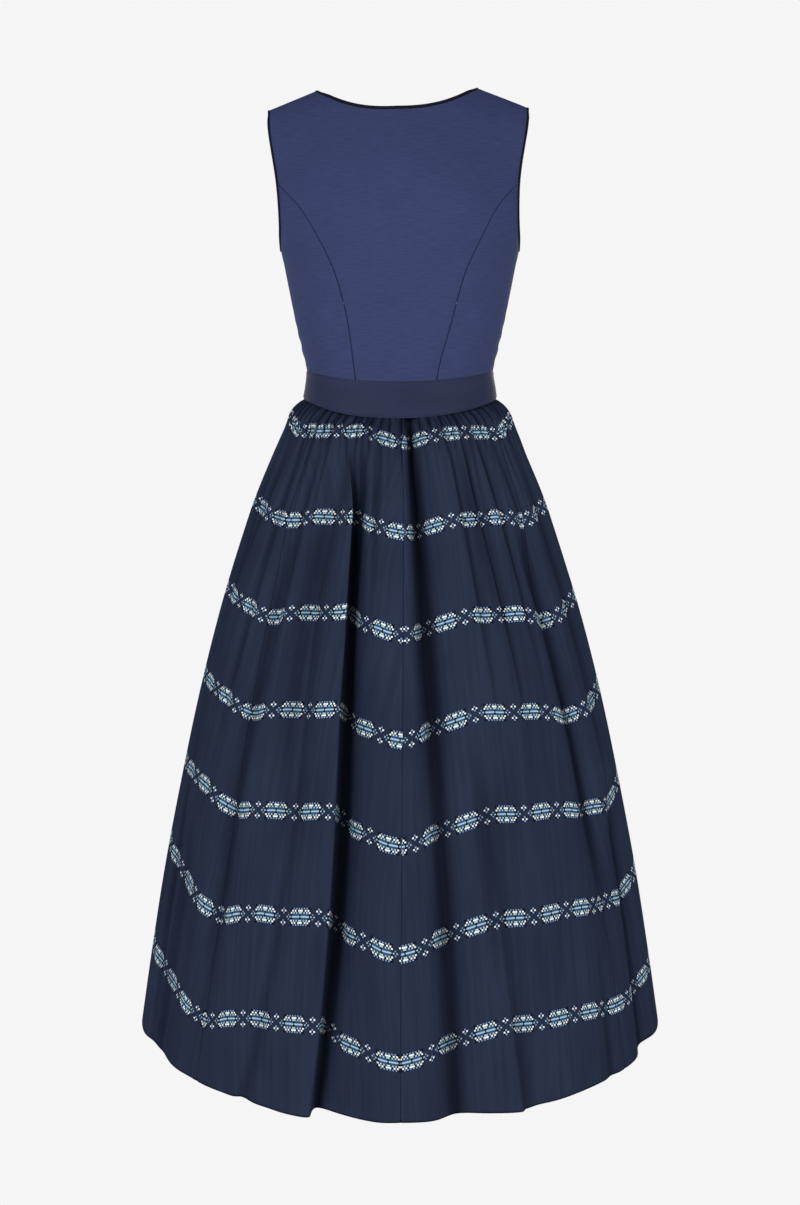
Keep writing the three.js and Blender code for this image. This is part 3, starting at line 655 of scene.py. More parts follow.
@dataclass(frozen=True)
class SkirtForm:
    """The shape of the skirt, by the angle round from the centre back and the share of its length."""

    body: BodiceForm
    length: float = 0.863
    side_lift: float = 0.009
    lift_span: Span = (0.0, 0.05)
    hem_height: float = -1.263
    hem_dip: float = 0.021
    depth_at_waist: float = 0.75
    depth_at_hem: float = 0.85
    fold_widening: float = 0.35
    fold_rise: float = 0.14
    fold_fade: float = 0.3
    lean_place: float = 1.5
    lean_width: float = 0.85
    gather_height: float = 0.0016
    gather_crown: float = 0.2
    gather_drop: float = 1.7
    gather_roundness: float = 0.75
    gather_swell: float = 0.8
    gather_swells: Span = (0.0, 0.03)
    gather_start: float = 0.008
    gather_fade: float = 0.055
    gather_ends: Span = (0.06, 0.12)
    gather_waver: Waver = Waver(0.45, 2.4)
    fade_waver: Waver = Waver(0.55, 1.7)
    drift_wavers: tuple[Waver, Waver] = (Waver(0.012, 6 * math.pi), Waver(0.009, 10 * math.pi))
    pucker_height: float = 0.0020
    pucker_crown: float = 0.1
    pucker_drop: float = 1.6
    pucker_roundness: float = 0.6
    pucker_fade: float = 0.030
    pucker_reach: float = 0.6
    pucker_least: float = 0.010
    pucker_fades: Span = (0.2, 1.0)
    pucker_ends: Span = (0.02, 0.05)
    pucker_wavers: tuple[Waver, Waver] = (Waver(0.20, 4.3), Waver(0.09, 11.7))
    reach_waver: Waver = Waver(0.4, 7.3)
    held: float = 0.3
    held_span: Span = (0.0, 0.006)
    # These six set the painted shade that darkens the cloth's colour in its fold valleys.
    dark_depth: float = 0.022
    dark_narrowing: float = 1.6
    dark_spread: float = 0.55
    crease_shade: float = 0.7
    crease_depths: Span = (0.0010, 0.0046)
    gather_shade: float = 0.95
    crease_seed: int = 41
    creases: CreaseRanges = CreaseRanges()
    ripples: RippleRanges = RippleRanges()

    def fold_place(self, fold: Fold, angle: np.ndarray, share: np.ndarray) -> tuple[np.ndarray, np.ndarray]:
        """Offset of each place from a fold, in its own half widths, and the fold's strength there."""
        bend = fold.top * (1 - share) * (1 - 2 * share) + fold.hem * share * (2 * share - 1)
        offset = angle_between(bend + 4 * fold.middle * share * (1 - share), angle)
        width = np.where(offset < 0, fold.before, fold.after) * (1 + self.fold_widening * (1 - share))
        appears = smoothstep(share, fold.starts, fold.starts + self.fold_rise)
        fades = 1 - smoothstep(share, fold.ends - self.fold_fade, fold.ends)
        return offset / width, appears * fades

    def fold_depth(self, angle: np.ndarray, share: np.ndarray) -> np.ndarray:
        """How far the large folds push the cloth inwards."""
        depth = np.zeros_like(angle)
        for fold in (*FOLDS, *CREASES):
            offset, strength = self.fold_place(fold, angle, share)
            depth = depth + fold.depth * strength * np.exp(-(offset**2))
        return depth

    def fold_lean(self, angle: np.ndarray, share: np.ndarray) -> np.ndarray:
        """How far the near walls of the leaning folds slide sideways over them."""
        lean = np.zeros_like(angle)
        for fold in (fold for fold in (*FOLDS, *CREASES) if fold.lean):
            offset, strength = self.fold_place(fold, angle, share)
            aside = (offset + self.lean_place) / self.lean_width
            lean = lean + fold.lean * strength * np.exp(-(aside**2))
        return lean

    def hollow(self, gore: Gore, count: np.ndarray, share: np.ndarray) -> np.ndarray:
        """Painted shade in the narrow folds: 0 on open cloth, up to 1 deep in a valley, where it darkens the
        colour.
        """
        angle = self.angle(gore, count)
        deep = np.zeros_like(angle)
        for fold in (*FOLDS, *CREASES):
            offset, strength = self.fold_place(fold, angle, share)
            steep = min(1.0, max(0.0, fold.depth) / self.dark_depth)
            after = max(self.dark_narrowing, self.dark_spread * fold.after)
            spread = np.where(offset < 0, self.dark_narrowing, after)
            inside = np.exp(-((spread * offset) ** 2))
            deep = np.maximum(deep, steep * strength * inside)
        # Painted shade in the fine creases and in the valleys between the gathers and puckers.
        fine = self.crease_shade * smoothstep(self.creases_at(angle, share), *self.crease_depths)
        valley = np.maximum(self.gather_valley(gore, count, share), self.pucker_valley(gore, count, share))
        return np.maximum(deep, np.maximum(fine, self.gather_shade * valley))

    def gather_valley(self, gore: Gore, count: np.ndarray, share: np.ndarray) -> np.ndarray:
        """The valleys between the gathers, from 0 on the round tops to 1, fading down the cloth."""
        end = self.gather_fade * (1.0 + self.fade_waver.at(np.floor(count + 0.5), gore.start))
        fade = 1 - smoothstep((share - self.gather_start) / (end - self.gather_start), 0.0, 1.0)
        return fade * (1 - np.abs(np.sin(math.pi * count)) ** self.gather_roundness)

    def pucker_valley(self, gore: Gore, count: np.ndarray, share: np.ndarray) -> np.ndarray:
        """The narrow valleys between the small puckers right below the waistband, from 0 to 1."""
        slow, quick = self.pucker_wavers
        wander = count + slow.at(count, gore.start) + quick.at(count)
        reach = self.pucker_fade * (self.pucker_reach + self.reach_waver.at(count, 2.0 * gore.start))
        fade = 1 - smoothstep(share / np.maximum(reach, self.pucker_least), *self.pucker_fades)
        return fade * (1 - np.abs(np.sin(2 * math.pi * wander)) ** self.pucker_roundness)

    def gathered(self, gore: Gore, count: np.ndarray, share: np.ndarray) -> np.ndarray:
        """Height of the gathers and puckers, which are round on top with narrow valleys between them."""
        across = count / gore.gathers
        uneven = 1 + self.gather_waver.at(count, gore.start) * np.sin(math.pi * across)
        swell = 1 + self.gather_swell * smoothstep(share, *self.gather_swells)
        valleys = self.gather_crown - self.gather_drop * self.gather_valley(gore, count, share)
        large = self.gather_height * uneven * swell * valleys * (1 - smoothstep(share, *self.gather_ends))
        furrows = self.pucker_crown - self.pucker_drop * self.pucker_valley(gore, count, share)
        small = self.pucker_height * furrows * (1 - smoothstep(share, *self.pucker_ends))
        opened = self.held + (1 - self.held) * smoothstep(share, *self.held_span)
        return (large + small) * opened

    def creases_at(self, angle: np.ndarray, share: np.ndarray) -> np.ndarray:
        """Depth of the fine creases that run down from the waistband, and of the long soft ripples."""
        rng = np.random.default_rng(self.crease_seed)
        depth = np.zeros_like(angle)
        fine, soft = self.creases, self.ripples
        for k in range(fine.count):
            at = (k + rng.uniform(*fine.place)) * 360.0 / fine.count
            drift, width = rng.uniform(*fine.drift), rng.uniform(*fine.width)
            reach, deep = rng.uniform(*fine.reach), rng.uniform(*fine.depth)
            offset = angle_between(at + drift * share, angle) / (width * (1 + fine.widening * share))
            fades = 1 - smoothstep(share, fine.full * reach, reach)
            strength = smoothstep(share, 0.0, fine.onset) * fades
            depth = depth + deep * strength * np.exp(-(offset**2))
        for k in range(soft.count):
            at = (k + rng.uniform(*soft.place)) * 360.0 / soft.count
            drift, width = rng.uniform(*soft.drift), rng.uniform(*soft.width)
            middle, spread = rng.uniform(*soft.middle), rng.uniform(*soft.spread)
            deep = rng.uniform(*soft.depth)
            offset = angle_between(at + drift * share, angle) / width
            depth = depth + deep * np.exp(-(offset**2) - ((share - middle) / spread) ** 2)
        return depth

    def angle(self, gore: Gore, count: np.ndarray) -> np.ndarray:
        """Angle round the skirt of a place in a gore."""
        across = count / gore.gathers
        slow, quick = self.drift_wavers
        return mix(gore.start, gore.end, across + (slow.at(across) + quick.at(across)))

    def point(self, gore: Gore, count: np.ndarray, share: np.ndarray) -> np.ndarray:
        """Point on the outside of the skirt.

        Args:
            gore: The gore that the point is in.
            count: Gathers from the gore's first seam.
            share: Share of the skirt's length, 0 at the waistband and 1 at the hem.

        Returns:
            The points, with X, Y and Z in the last axis.
        """
        angle = self.angle(gore, count)
        sine, cosine = np.sin(np.radians(angle)), np.cos(np.radians(angle))
        lift = self.side_lift * sine**2 * (1 - share) * smoothstep(share, *self.lift_span)
        half_width = read_table(SKIRT_SECTIONS, "half_width", share * self.length - lift)
        half_depth = half_width * mix(self.depth_at_waist, self.depth_at_hem, share)
        flat = np.zeros_like(sine)
        outwards = unit(np.stack([sine / half_width, -cosine / half_depth, flat], axis=-1))
        sideways = np.stack([-outwards[..., 1], outwards[..., 0], flat], axis=-1)
        top = self.body.band_bottom(angle) - 2 * SEAM_GAP
        hem = self.hem_height - self.hem_dip * cosine**2
        point = np.stack([half_width * sine, -half_depth * cosine, mix(top, hem, share)], axis=-1)
        raised = self.gathered(gore, count, share)
        sunk = self.fold_depth(angle, share) + self.creases_at(angle, share)
        lean = self.fold_lean(angle, share)
        return point + outwards * (raised - sunk)[..., None] + sideways * lean[..., None]


# ---- Shader maths ----


class Value:
    """A number that changes over a surface, on which Python's operators make Math nodes."""

    def __init__(self, shader: "Shader", socket: bpy.types.NodeSocket) -> None:
        """Wraps an output socket of a shader."""
        self.shader = shader
        self.socket = socket

    def math(self, operation: str, *others: Number) -> "Value":
        """Applies a Math node's operation to this value and others."""
        inputs = dict(enumerate((self, *others)))
        return self.shader.value("ShaderNodeMath", {"operation": operation}, inputs)

    def __add__(self, other: Number) -> "Value":
        """Sum."""
        return self.math("ADD", other)

    __radd__ = __add__

    def __mul__(self, other: Number) -> "Value":
        """Product."""
        return self.math("MULTIPLY", other)

    __rmul__ = __mul__

    def __sub__(self, other: Number) -> "Value":
        """Difference."""
        return self.math("SUBTRACT", other)

    def __rsub__(self, other: float) -> "Value":
        """Difference from a number."""
        return (self * -1.0).math("ADD", other)

    def __truediv__(self, other: Number) -> "Value":
        """Quotient."""
        return self.math("DIVIDE", other)

    def __abs__(self) -> "Value":
        """Distance from zero."""
        return self.math("ABSOLUTE")

    def sine(self) -> "Value":
        """Sine of an angle in radians."""
        return self.math("SINE")

    def greater(self, other: Number) -> "Value":
        """The larger of two values."""
        return self.math("MAXIMUM", other)

    def lesser(self, other: Number) -> "Value":
        """The smaller of two values."""
        return self.math("MINIMUM", other)

    def clamped(self) -> "Value":
        """The value held between 0 and 1."""
        return self.greater(0.0).lesser(1.0)

    def folded(self, repeat: float) -> "Value":
        """Distance from the nearest whole repeat."""
        return abs((self + repeat / 2).math("FLOORED_MODULO", repeat) - repeat / 2)

    def below(self, edge: float, soft: float) -> "Value":
        """One up to an edge, and then softly down to 0."""
        return 1.0 - ((self - edge) / soft).clamped()

    def within(self, middle: float, half: float, soft: float) -> "Value":
        """One where the value lies within half of the middle, with a soft edge."""
        return ((half - abs(self - middle)) / soft + 0.5).clamped()


Colour = tuple[float, float, float]


class Grain(NamedTuple):
    """Noise on a cloth: its bumps to a metre in two directions, and its detail."""

    across: float
    down: float
    detail: float = 2.0


def paint(red: int, green: int, blue: int) -> Colour:
    """A colour as light, from its three values on a screen, 0 to 255."""

    def light(level: int) -> float:
        """Light of one channel."""
        share = level / 255.0
        return share / 12.92 if share <= 0.04045 else ((share + 0.055) / 1.055) ** 2.4

    return light(red), light(green), light(blue)


class Shader:
    """A material's node tree, with one Principled shader at its end."""

    def __init__(self, name: str) -> None:
        """Makes an empty material of that name."""
        self.material = bpy.data.materials.new(name)
        self.material.use_nodes = True
        self.tree = self.material.node_tree
        self.tree.nodes.clear()
        output = self.tree.nodes.new("ShaderNodeOutputMaterial")
        self.surface = self.tree.nodes.new("ShaderNodeBsdfPrincipled")
        self.tree.links.new(self.surface.outputs[0], output.inputs["Surface"])

    def node(self, kind: str, settings: dict, inputs: dict) -> bpy.types.Node:
        """Makes a node.

        Args:
            kind: The node's type.
            settings: Its settings, which are set first.
            inputs: Values or links of its sockets, by name or number.

        Returns:
            The node.
        """
        made = self.tree.nodes.new(kind)
        for name, setting in settings.items():
            setattr(made, name, setting)
        for name, given in inputs.items():
            self.feed(made.inputs[name], given)
        return made

    def feed(self, socket: bpy.types.NodeSocket, given: object) -> None:
        """Links a value or socket to a socket, or sets a number or colour on it."""
        if isinstance(given, Value):
            self.tree.links.new(given.socket, socket)
        elif isinstance(given, bpy.types.NodeSocket):
            self.tree.links.new(given, socket)
        elif isinstance(given, tuple) and socket.type == "RGBA":
            socket.default_value = (*given, 1.0)
        else:
            socket.default_value = given

    def value(self, kind: str, settings: dict, inputs: dict, output: int = 0) -> Value:
        """Makes a node and gives one of its outputs as a value."""
        return Value(self, self.node(kind, settings, inputs).outputs[output])

    def cloth_place(self) -> tuple[Value, Value, Value]:
        """Place on the cloth: across it, down it, and the distance from its nearest seam or the skirt's dark
        hem edge.
        """
        layer = self.node("ShaderNodeAttribute", {"attribute_name": CLOTH_LAYER}, {})
        parts = self.node("ShaderNodeSeparateXYZ", {}, {"Vector": layer.outputs["Vector"]})
        return Value(self, parts.outputs[0]), Value(self, parts.outputs[1]), Value(self, parts.outputs[2])

    def hollow(self) -> Value:
        """Painted shade in the fold valleys, from 0 on open cloth to 1."""
        return self.value("ShaderNodeAttribute", {"attribute_name": FOLD_SHADE_LAYER}, {}, 2)

    def noise(self, grain: Grain, across: Value, down: Value) -> Value:
        """Smooth noise from 0 to 1 over two distances."""
        scaled = {"X": across * grain.across, "Y": down * grain.down}
        place = self.node("ShaderNodeCombineXYZ", {}, scaled)
        inputs = {"Vector": place.outputs[0], "Scale": 1.0, "Detail": grain.detail, "Roughness": 0.55}
        return self.value("ShaderNodeTexNoise", {"noise_dimensions": "2D"}, inputs)

    def blend(self, share: Number, first: object, second: object) -> bpy.types.NodeSocket:
        """Goes from one colour to another by a share."""
        settings = {"data_type": "RGBA", "clamp_factor": True}
        return self.node("ShaderNodeMix", settings, {0: share, 6: first, 7: second}).outputs[2]

    def tones(self, tone: Value, dark: Colour, colour: Colour, pale: Colour) -> bpy.types.NodeSocket:
        """Goes from a dark colour over a middle one to a pale one."""
        shade = self.blend((tone * 2.0).clamped(), dark, colour)
        return self.blend((tone * 2.0 - 1.0).clamped(), shade, pale)

    def bump(self, height: Value, distance: float) -> bpy.types.NodeSocket:
        """Raises the surface by a height of 0 to 1 times a distance."""
        inputs = {"Height": height, "Distance": distance, "Strength": 1.0}
        return self.node("ShaderNodeBump", {}, inputs).outputs[0]

    def finish(self, **inputs: object) -> bpy.types.Material:
        """Feeds the Principled shader, whose sockets are named with _ for a space, and ends the material."""
        for name, given in inputs.items():
            self.feed(self.surface.inputs[name.replace("_", " ")], given)
        return self.material


# ---- Finishes ----


@dataclass(frozen=True)
class BodiceCloth:
    """Matt navy cloth with fine slubs across it."""

    colour: Colour = paint(56, 64, 101)
    dark: Colour = paint(51, 58, 94)
    pale: Colour = paint(61, 69, 108)
    thread: Colour = paint(20, 23, 50)
    thread_pitch: float = 0.0009
    thread_slant: float = 900.0
    slubs: Grain = Grain(55.0, 760.0, 3.0)
    clouds: Grain = Grain(14.0, 18.0)
    seam_line: float = 0.00035
    seam_strength: float = 0.7
    relief: float = 0.00022

    def material(self) -> bpy.types.Material:
        """Builds the cloth's material."""
        shader = Shader("navy bodice cloth")
        across, down, seam = shader.cloth_place()
        slub = shader.noise(self.slubs, across, down)
        cloudy = shader.noise(self.clouds, across, down)
        streak = ((slub - 0.5) * 1.6 + (cloudy - 0.5) * 0.5 + 0.5).clamped()
        cloth = shader.tones(streak, self.dark, self.colour, self.pale)
        dark_line_mask = seam.below(self.seam_line, self.seam_line)
        turns = 2.0 * math.pi / self.thread_pitch
        weft = (down * turns + across * self.thread_slant).sine()
        weave = (across * turns).sine() * 0.25 + weft * 0.25 + 0.5
        return shader.finish(
            Base_Color=shader.blend(dark_line_mask * self.seam_strength, cloth, self.thread),
            Roughness=0.74 + (slub - 0.5) * 0.2,
            Normal=shader.bump(weave * 0.4 + slub * 0.6, self.relief),
            Sheen_Weight=0.02,
            Sheen_Roughness=0.4,
            Sheen_Tint=(0.55, 0.60, 0.85),
            Specular_IOR_Level=0.06,
        )


@dataclass(frozen=True)
class BandSatin:
    """Smooth dark navy satin with a soft lustre."""

    colour: Colour = paint(47, 53, 78)
    dark: Colour = paint(41, 47, 70)
    thread_pitch: float = 0.0006
    clouds: Grain = Grain(9.0, 30.0)
    threads: Grain = Grain(90.0, 1500.0)
    relief: float = 0.00008

    def material(self) -> bpy.types.Material:
        """Builds the satin's material."""
        shader = Shader("navy band satin")
        across, down, _ = shader.cloth_place()
        cloudy = shader.noise(self.clouds, across, down)
        fine = shader.noise(self.threads, across, down)
        ribs = (down * (2.0 * math.pi / self.thread_pitch)).sine() * 0.5 + 0.5
        return shader.finish(
            Base_Color=shader.blend(((cloudy - 0.5) * 1.6 + 0.5).clamped(), self.dark, self.colour),
            Roughness=0.46 + (fine - 0.5) * 0.16,
            Normal=shader.bump(ribs * 0.5 + fine * 0.5, self.relief),
            Sheen_Weight=0.01,
            Sheen_Roughness=0.35,
            Sheen_Tint=(0.6, 0.65, 0.9),
            Specular_IOR_Level=0.05,
        )


@dataclass(frozen=True)
class PipingSatin:
    """Near-black satin, wrapped aslant round a cord."""

    colour: Colour = paint(12, 13, 22)
    pale: Colour = paint(19, 21, 34)
    wrap: Span = (2600.0, 5200.0)
    tints: Grain = Grain(160.0, 200.0)
    relief: float = 0.00006

    def material(self) -> bpy.types.Material:
        """Builds the piping's material."""
        shader = Shader("dark piping satin")
        across, down, _ = shader.cloth_place()
        ribs = (down * self.wrap[1] + across * self.wrap[0]).sine() * 0.5 + 0.5
        tint = shader.noise(self.tints, down, across)
        return shader.finish(
            Base_Color=shader.blend(tint, self.colour, self.pale),
            Roughness=0.6 + (tint - 0.5) * 0.2,
            Normal=shader.bump(ribs, self.relief),
            Specular_IOR_Level=0.1,
        )


class Yarn(Enum):
    """The colours of the woven bands."""

    CREAM = paint(250, 254, 252)
    CYAN = paint(168, 206, 222)
    TEAL = paint(184, 216, 212)
    BLUE = paint(60, 82, 122)
    PALE = paint(136, 166, 204)
    GROUND = paint(22, 28, 47)


class Mark(NamedTuple):
    """A bar or dot of a woven motif, in its upper right quarter, which the other quarters mirror."""

    out: float
    up: float
    half_width: float
    half_height: float
    yarn: Yarn


MOTIF_REPEAT = 0.0525
MOTIF = (
    Mark(0.0000, 0.0000, 0.0152, 0.0116, Yarn.GROUND),
    Mark(0.0262, 0.0074, 0.0035, 0.0036, Yarn.GROUND),
    Mark(0.0066, 0.0026, 0.0051, 0.0012, Yarn.BLUE),
    Mark(0.0068, 0.0000, 0.0058, 0.0009, Yarn.CYAN),
    Mark(0.0158, 0.0000, 0.0009, 0.0009, Yarn.CYAN),
    Mark(0.0202, 0.0000, 0.0009, 0.0009, Yarn.CYAN),
    Mark(0.0180, 0.0028, 0.0008, 0.0008, Yarn.PALE),
    Mark(0.0000, 0.0049, 0.0021, 0.0009, Yarn.TEAL),
    Mark(0.0055, 0.0049, 0.0009, 0.0009, Yarn.CYAN),
    Mark(0.0095, 0.0049, 0.0009, 0.0009, Yarn.TEAL),
    Mark(0.0135, 0.0049, 0.0010, 0.0009, Yarn.CREAM),
    Mark(0.0000, 0.0075, 0.0032, 0.0010, Yarn.CREAM),
    Mark(0.0075, 0.0075, 0.0010, 0.0010, Yarn.CREAM),
    Mark(0.0115, 0.0075, 0.0010, 0.0010, Yarn.CREAM),
    Mark(0.0019, 0.0101, 0.0008, 0.0008, Yarn.PALE),
    Mark(0.0056, 0.0101, 0.0008, 0.0008, Yarn.PALE),
    Mark(0.0095, 0.0101, 0.0008, 0.0008, Yarn.PALE),
    Mark(0.0238, 0.0074, 0.0010, 0.0010, Yarn.CREAM),
    Mark(0.0262, 0.0048, 0.0010, 0.0009, Yarn.PALE),
    Mark(0.0262, 0.0100, 0.0010, 0.0009, Yarn.PALE),
)


@dataclass(frozen=True)
class SkirtCloth:
    """Fine dark navy cloth with woven bands, a lustre of paler streaks painted in, and painted shade in its
    folds.
    """

    colour: Colour = paint(43, 51, 71)
    dark: Colour = paint(37, 44, 62)
    pale: Colour = paint(49, 58, 80)
    # Deep is the near-black of the painted shade in the fold valleys, and shade is how far it darkens them.
    deep: Colour = paint(7, 8, 13)
    thread: Colour = paint(12, 15, 28)
    shade: float = 0.86
    band_pitch: float = 0.131
    last_band: float = 0.85
    last_band_edge: float = 300.0
    thread_pitch: float = 0.0007
    soft: float = 0.00036
    # Paler and darker lengthwise streaks, partly the cloth's own uneven tone and partly painted sheen.
    sheen_and_tone_streaks: Grain = Grain(170.0, 5.0, 3.0)
    clouds: Grain = Grain(12.0, 7.0)
    seam_line: float = 0.0003
    seam_soft: float = 0.0005
    seam_strength: float = 0.85
    relief: float = 0.00016

    def marks(self, shader: Shader, across: Value, down: Value) -> tuple[object, Value]:
        """The woven bands: their colour, and a mask of 1 on their threads."""
        out = across.folded(MOTIF_REPEAT)
        up = down.folded(self.band_pitch)
        levels: dict[tuple[float, float], Value] = {}
        colour: object = Yarn.PALE.value
        woven: Value | None = None
        for mark in MOTIF:
            key = (mark.up, mark.half_height)
            if key not in levels:
                levels[key] = up.within(mark.up, mark.half_height, self.soft)
            mask = levels[key] * out.within(mark.out, mark.half_width, self.soft)
            colour = shader.blend(mask * 6.0, colour, mark.yarn.value)
            woven = mask if woven is None else woven.greater(mask)
        return colour, woven * ((self.last_band - down) * self.last_band_edge).clamped()

    def material(self) -> bpy.types.Material:
        """Builds the cloth's material."""
        shader = Shader("navy skirt cloth")
        across, down, seam = shader.cloth_place()
        sheen_and_tone_streaks = shader.noise(self.sheen_and_tone_streaks, across, down)
        cloudy = shader.noise(self.clouds, across, down)
        # Tone from the streaks, partly random and partly painted sheen, and from soft clouds.
        tone = ((sheen_and_tone_streaks - 0.5) * 0.9 + (cloudy - 0.5) * 0.8 + 0.5).clamped()
        cloth = shader.tones(tone, self.dark, self.colour, self.pale)
        yarns, woven = self.marks(shader, across, down)
        turns = 2.0 * math.pi / self.thread_pitch
        weave = ((across * turns).sine() * (down * turns).sine()) * 0.5 + 0.5
        # Dark seam lines. On the skirt, the bottom 2 mm of the hem are drawn dark the same way.
        dark_line_mask = seam.below(self.seam_line, self.seam_soft)
        plain = shader.blend(dark_line_mask * self.seam_strength, cloth, self.thread)
        patterned = shader.blend(woven, plain, yarns)
        return shader.finish(
            # Painted shade: the colour darkens towards deep in the fold valleys.
            Base_Color=shader.blend(shader.hollow() * self.shade, patterned, self.deep),
            Roughness=0.50 + (sheen_and_tone_streaks - 0.5) * 0.18 + woven * 0.2,
            Normal=shader.bump(weave * 0.35 + sheen_and_tone_streaks * 0.25 + woven * 0.4, self.relief),
            Specular_IOR_Level=0.0,
        )


@dataclass(frozen=True)
class PaleFloor:
    """Plain pale studio floor."""

    colour: Colour = (0.0, 0.0, 0.0)
    glow: float = 0.915

    def material(self) -> bpy.types.Material:
        """Builds the floor's material."""
        shader = Shader("pale floor")
        return shader.finish(
            Base_Color=self.colour,
            Roughness=1.0,
            Emission_Color=(1.0, 1.0, 1.0),
            Emission_Strength=self.glow,
            Specular_IOR_Level=0.0,
        )


# ---- Making pieces ----


@dataclass(frozen=True)
class Grid:
    """A grid of cloth, by the shares of its columns and of its rows, which run upwards."""

    columns: np.ndarray
    rows: np.ndarray

    def mesh(self) -> tuple[bmesh.types.BMesh, np.ndarray, np.ndarray]:
        """Makes the grid's faces flat in a new bmesh, and gives the row and the column of each vertex."""
        bm = bmesh.new()
        segments = (len(self.columns) - 1, len(self.rows) - 1)
        bmesh.ops.create_grid(bm, x_segments=segments[0], y_segments=segments[1], size=0.5)
        flat = np.array([(vertex.co.x, vertex.co.y) for vertex in bm.verts]) + 0.5
        column = np.rint(flat[:, 0] * segments[0]).astype(int)
        row = np.rint(flat[:, 1] * segments[1]).astype(int)
        return bm, row, column


def move_to(bm: bmesh.types.BMesh, points: np.ndarray) -> None:
    """Puts each vertex of a bmesh at its point."""
    for vertex, point in zip(bm.verts, points):
        vertex.co = Vector(point)


def lengths_along(points: np.ndarray, axis: int) -> np.ndarray:
    """Distance along the cloth from the first point of each line of a grid of points."""
    steps = np.linalg.norm(np.diff(points, axis=axis), axis=-1)
    start = np.zeros_like(np.take(steps, [0], axis=axis))
    return np.concatenate([start, np.cumsum(steps, axis=axis)], axis=axis)


@dataclass(frozen=True)
class Cut:
    """What a piece of cloth was cut to before it was sewn: its width, length and area."""

    width: float
    length: float
    area: float


def cut_of(points: np.ndarray, level: float = 1.0) -> Cut:
    """Measures the cut of a piece of cloth.

    Args:
        points: A grid of its points, rows by columns, from its foot up.
        level: Share of the rows that run level, which its width is read from.

    Returns:
        The cut.
    """
    count = math.ceil(len(points) * level)
    widths = lengths_along(points[:count], 1)[:, -1]
    heights = lengths_along(points, 0)[-1, :]
    first = np.cross(points[1:, :-1] - points[:-1, :-1], points[:-1, 1:] - points[:-1, :-1])
    second = np.cross(points[:-1, 1:] - points[1:, 1:], points[1:, :-1] - points[1:, 1:])
    area = (np.linalg.norm(first, axis=-1).sum() + np.linalg.norm(second, axis=-1).sum()) / 2
    return Cut(float(widths.max()), float(heights.max()), float(area))


def link_new(bm: bmesh.types.BMesh, name: str) -> bpy.types.Object:
    """Makes an object of the scene from a bmesh and frees it."""
    mesh = bpy.data.meshes.new(name)
    bm.to_mesh(mesh)
    bm.free()
    made = bpy.data.objects.new(name, mesh)
    bpy.context.scene.collection.objects.link(made)
    return made


def sheet_from(
    bm: bmesh.types.BMesh, name: str, cloth: np.ndarray, hollow: np.ndarray | None = None
) -> bpy.types.Object:
    """Makes a sheet of cloth, without its thickness, from a bmesh and frees it.

    Args:
        bm: The mesh, whose vertices have the order that they were made in.
        name: The piece's name.
        cloth: Place on the cloth of each vertex.
        hollow: Painted shade of each vertex in the fold valleys, where the cloth has folds.

    Returns:
        The sheet.
    """
    piece = link_new(bm, name)
    layer = piece.data.attributes.new(CLOTH_LAYER, "FLOAT_VECTOR", "POINT")
    layer.data.foreach_set("vector", cloth.astype(np.float32).ravel())
    if hollow is not None:
        depth = piece.data.attributes.new(FOLD_SHADE_LAYER, "FLOAT", "POINT")
        depth.data.foreach_set("value", hollow.astype(np.float32))
    return piece


def thicken(piece: bpy.types.Object, wall: float) -> None:
    """Gives a sheet its thickness, inwards, and keeps its corners sharp."""
    solidify = piece.modifiers.new("wall", "SOLIDIFY")
    solidify.thickness = wall
    solidify.offset = -1.0
    evaluated = piece.evaluated_get(bpy.context.evaluated_depsgraph_get())
    made = bpy.data.meshes.new_from_object(evaluated)
    made.name = piece.name
    piece.modifiers.clear()
    piece.data = made
    smooth(piece)


def smooth(piece: bpy.types.Object, corner: float = 62.0) -> None:
    """Shades a piece smooth, apart from its corners that are sharper than an angle in degrees."""
    piece.data.shade_smooth()
    piece.data.set_sharp_from_angle(angle=math.radians(corner))


def put_on(piece: bpy.types.Object, slot: Slot, material: bpy.types.Material, node: str) -> None:
    """Dresses a piece in its material and lets it stand for the solid of a node."""
    piece.data.materials.clear()
    piece.data.materials.append(material)
    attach(piece, "root")
    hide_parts(node)


def declare(piece: bpy.types.Object, cut: Cut, held: Held, trims: Sequence) -> None:
    """Says, in the log, what a piece of cloth was cut to."""
    area = min(cut.area, cut.width * cut.length)
    list(trims)
    LOG.info("%s: cut %.3f x %.3f m, %.4f m2", piece.name, cut.width, cut.length, area)


# ---- Bodice ----


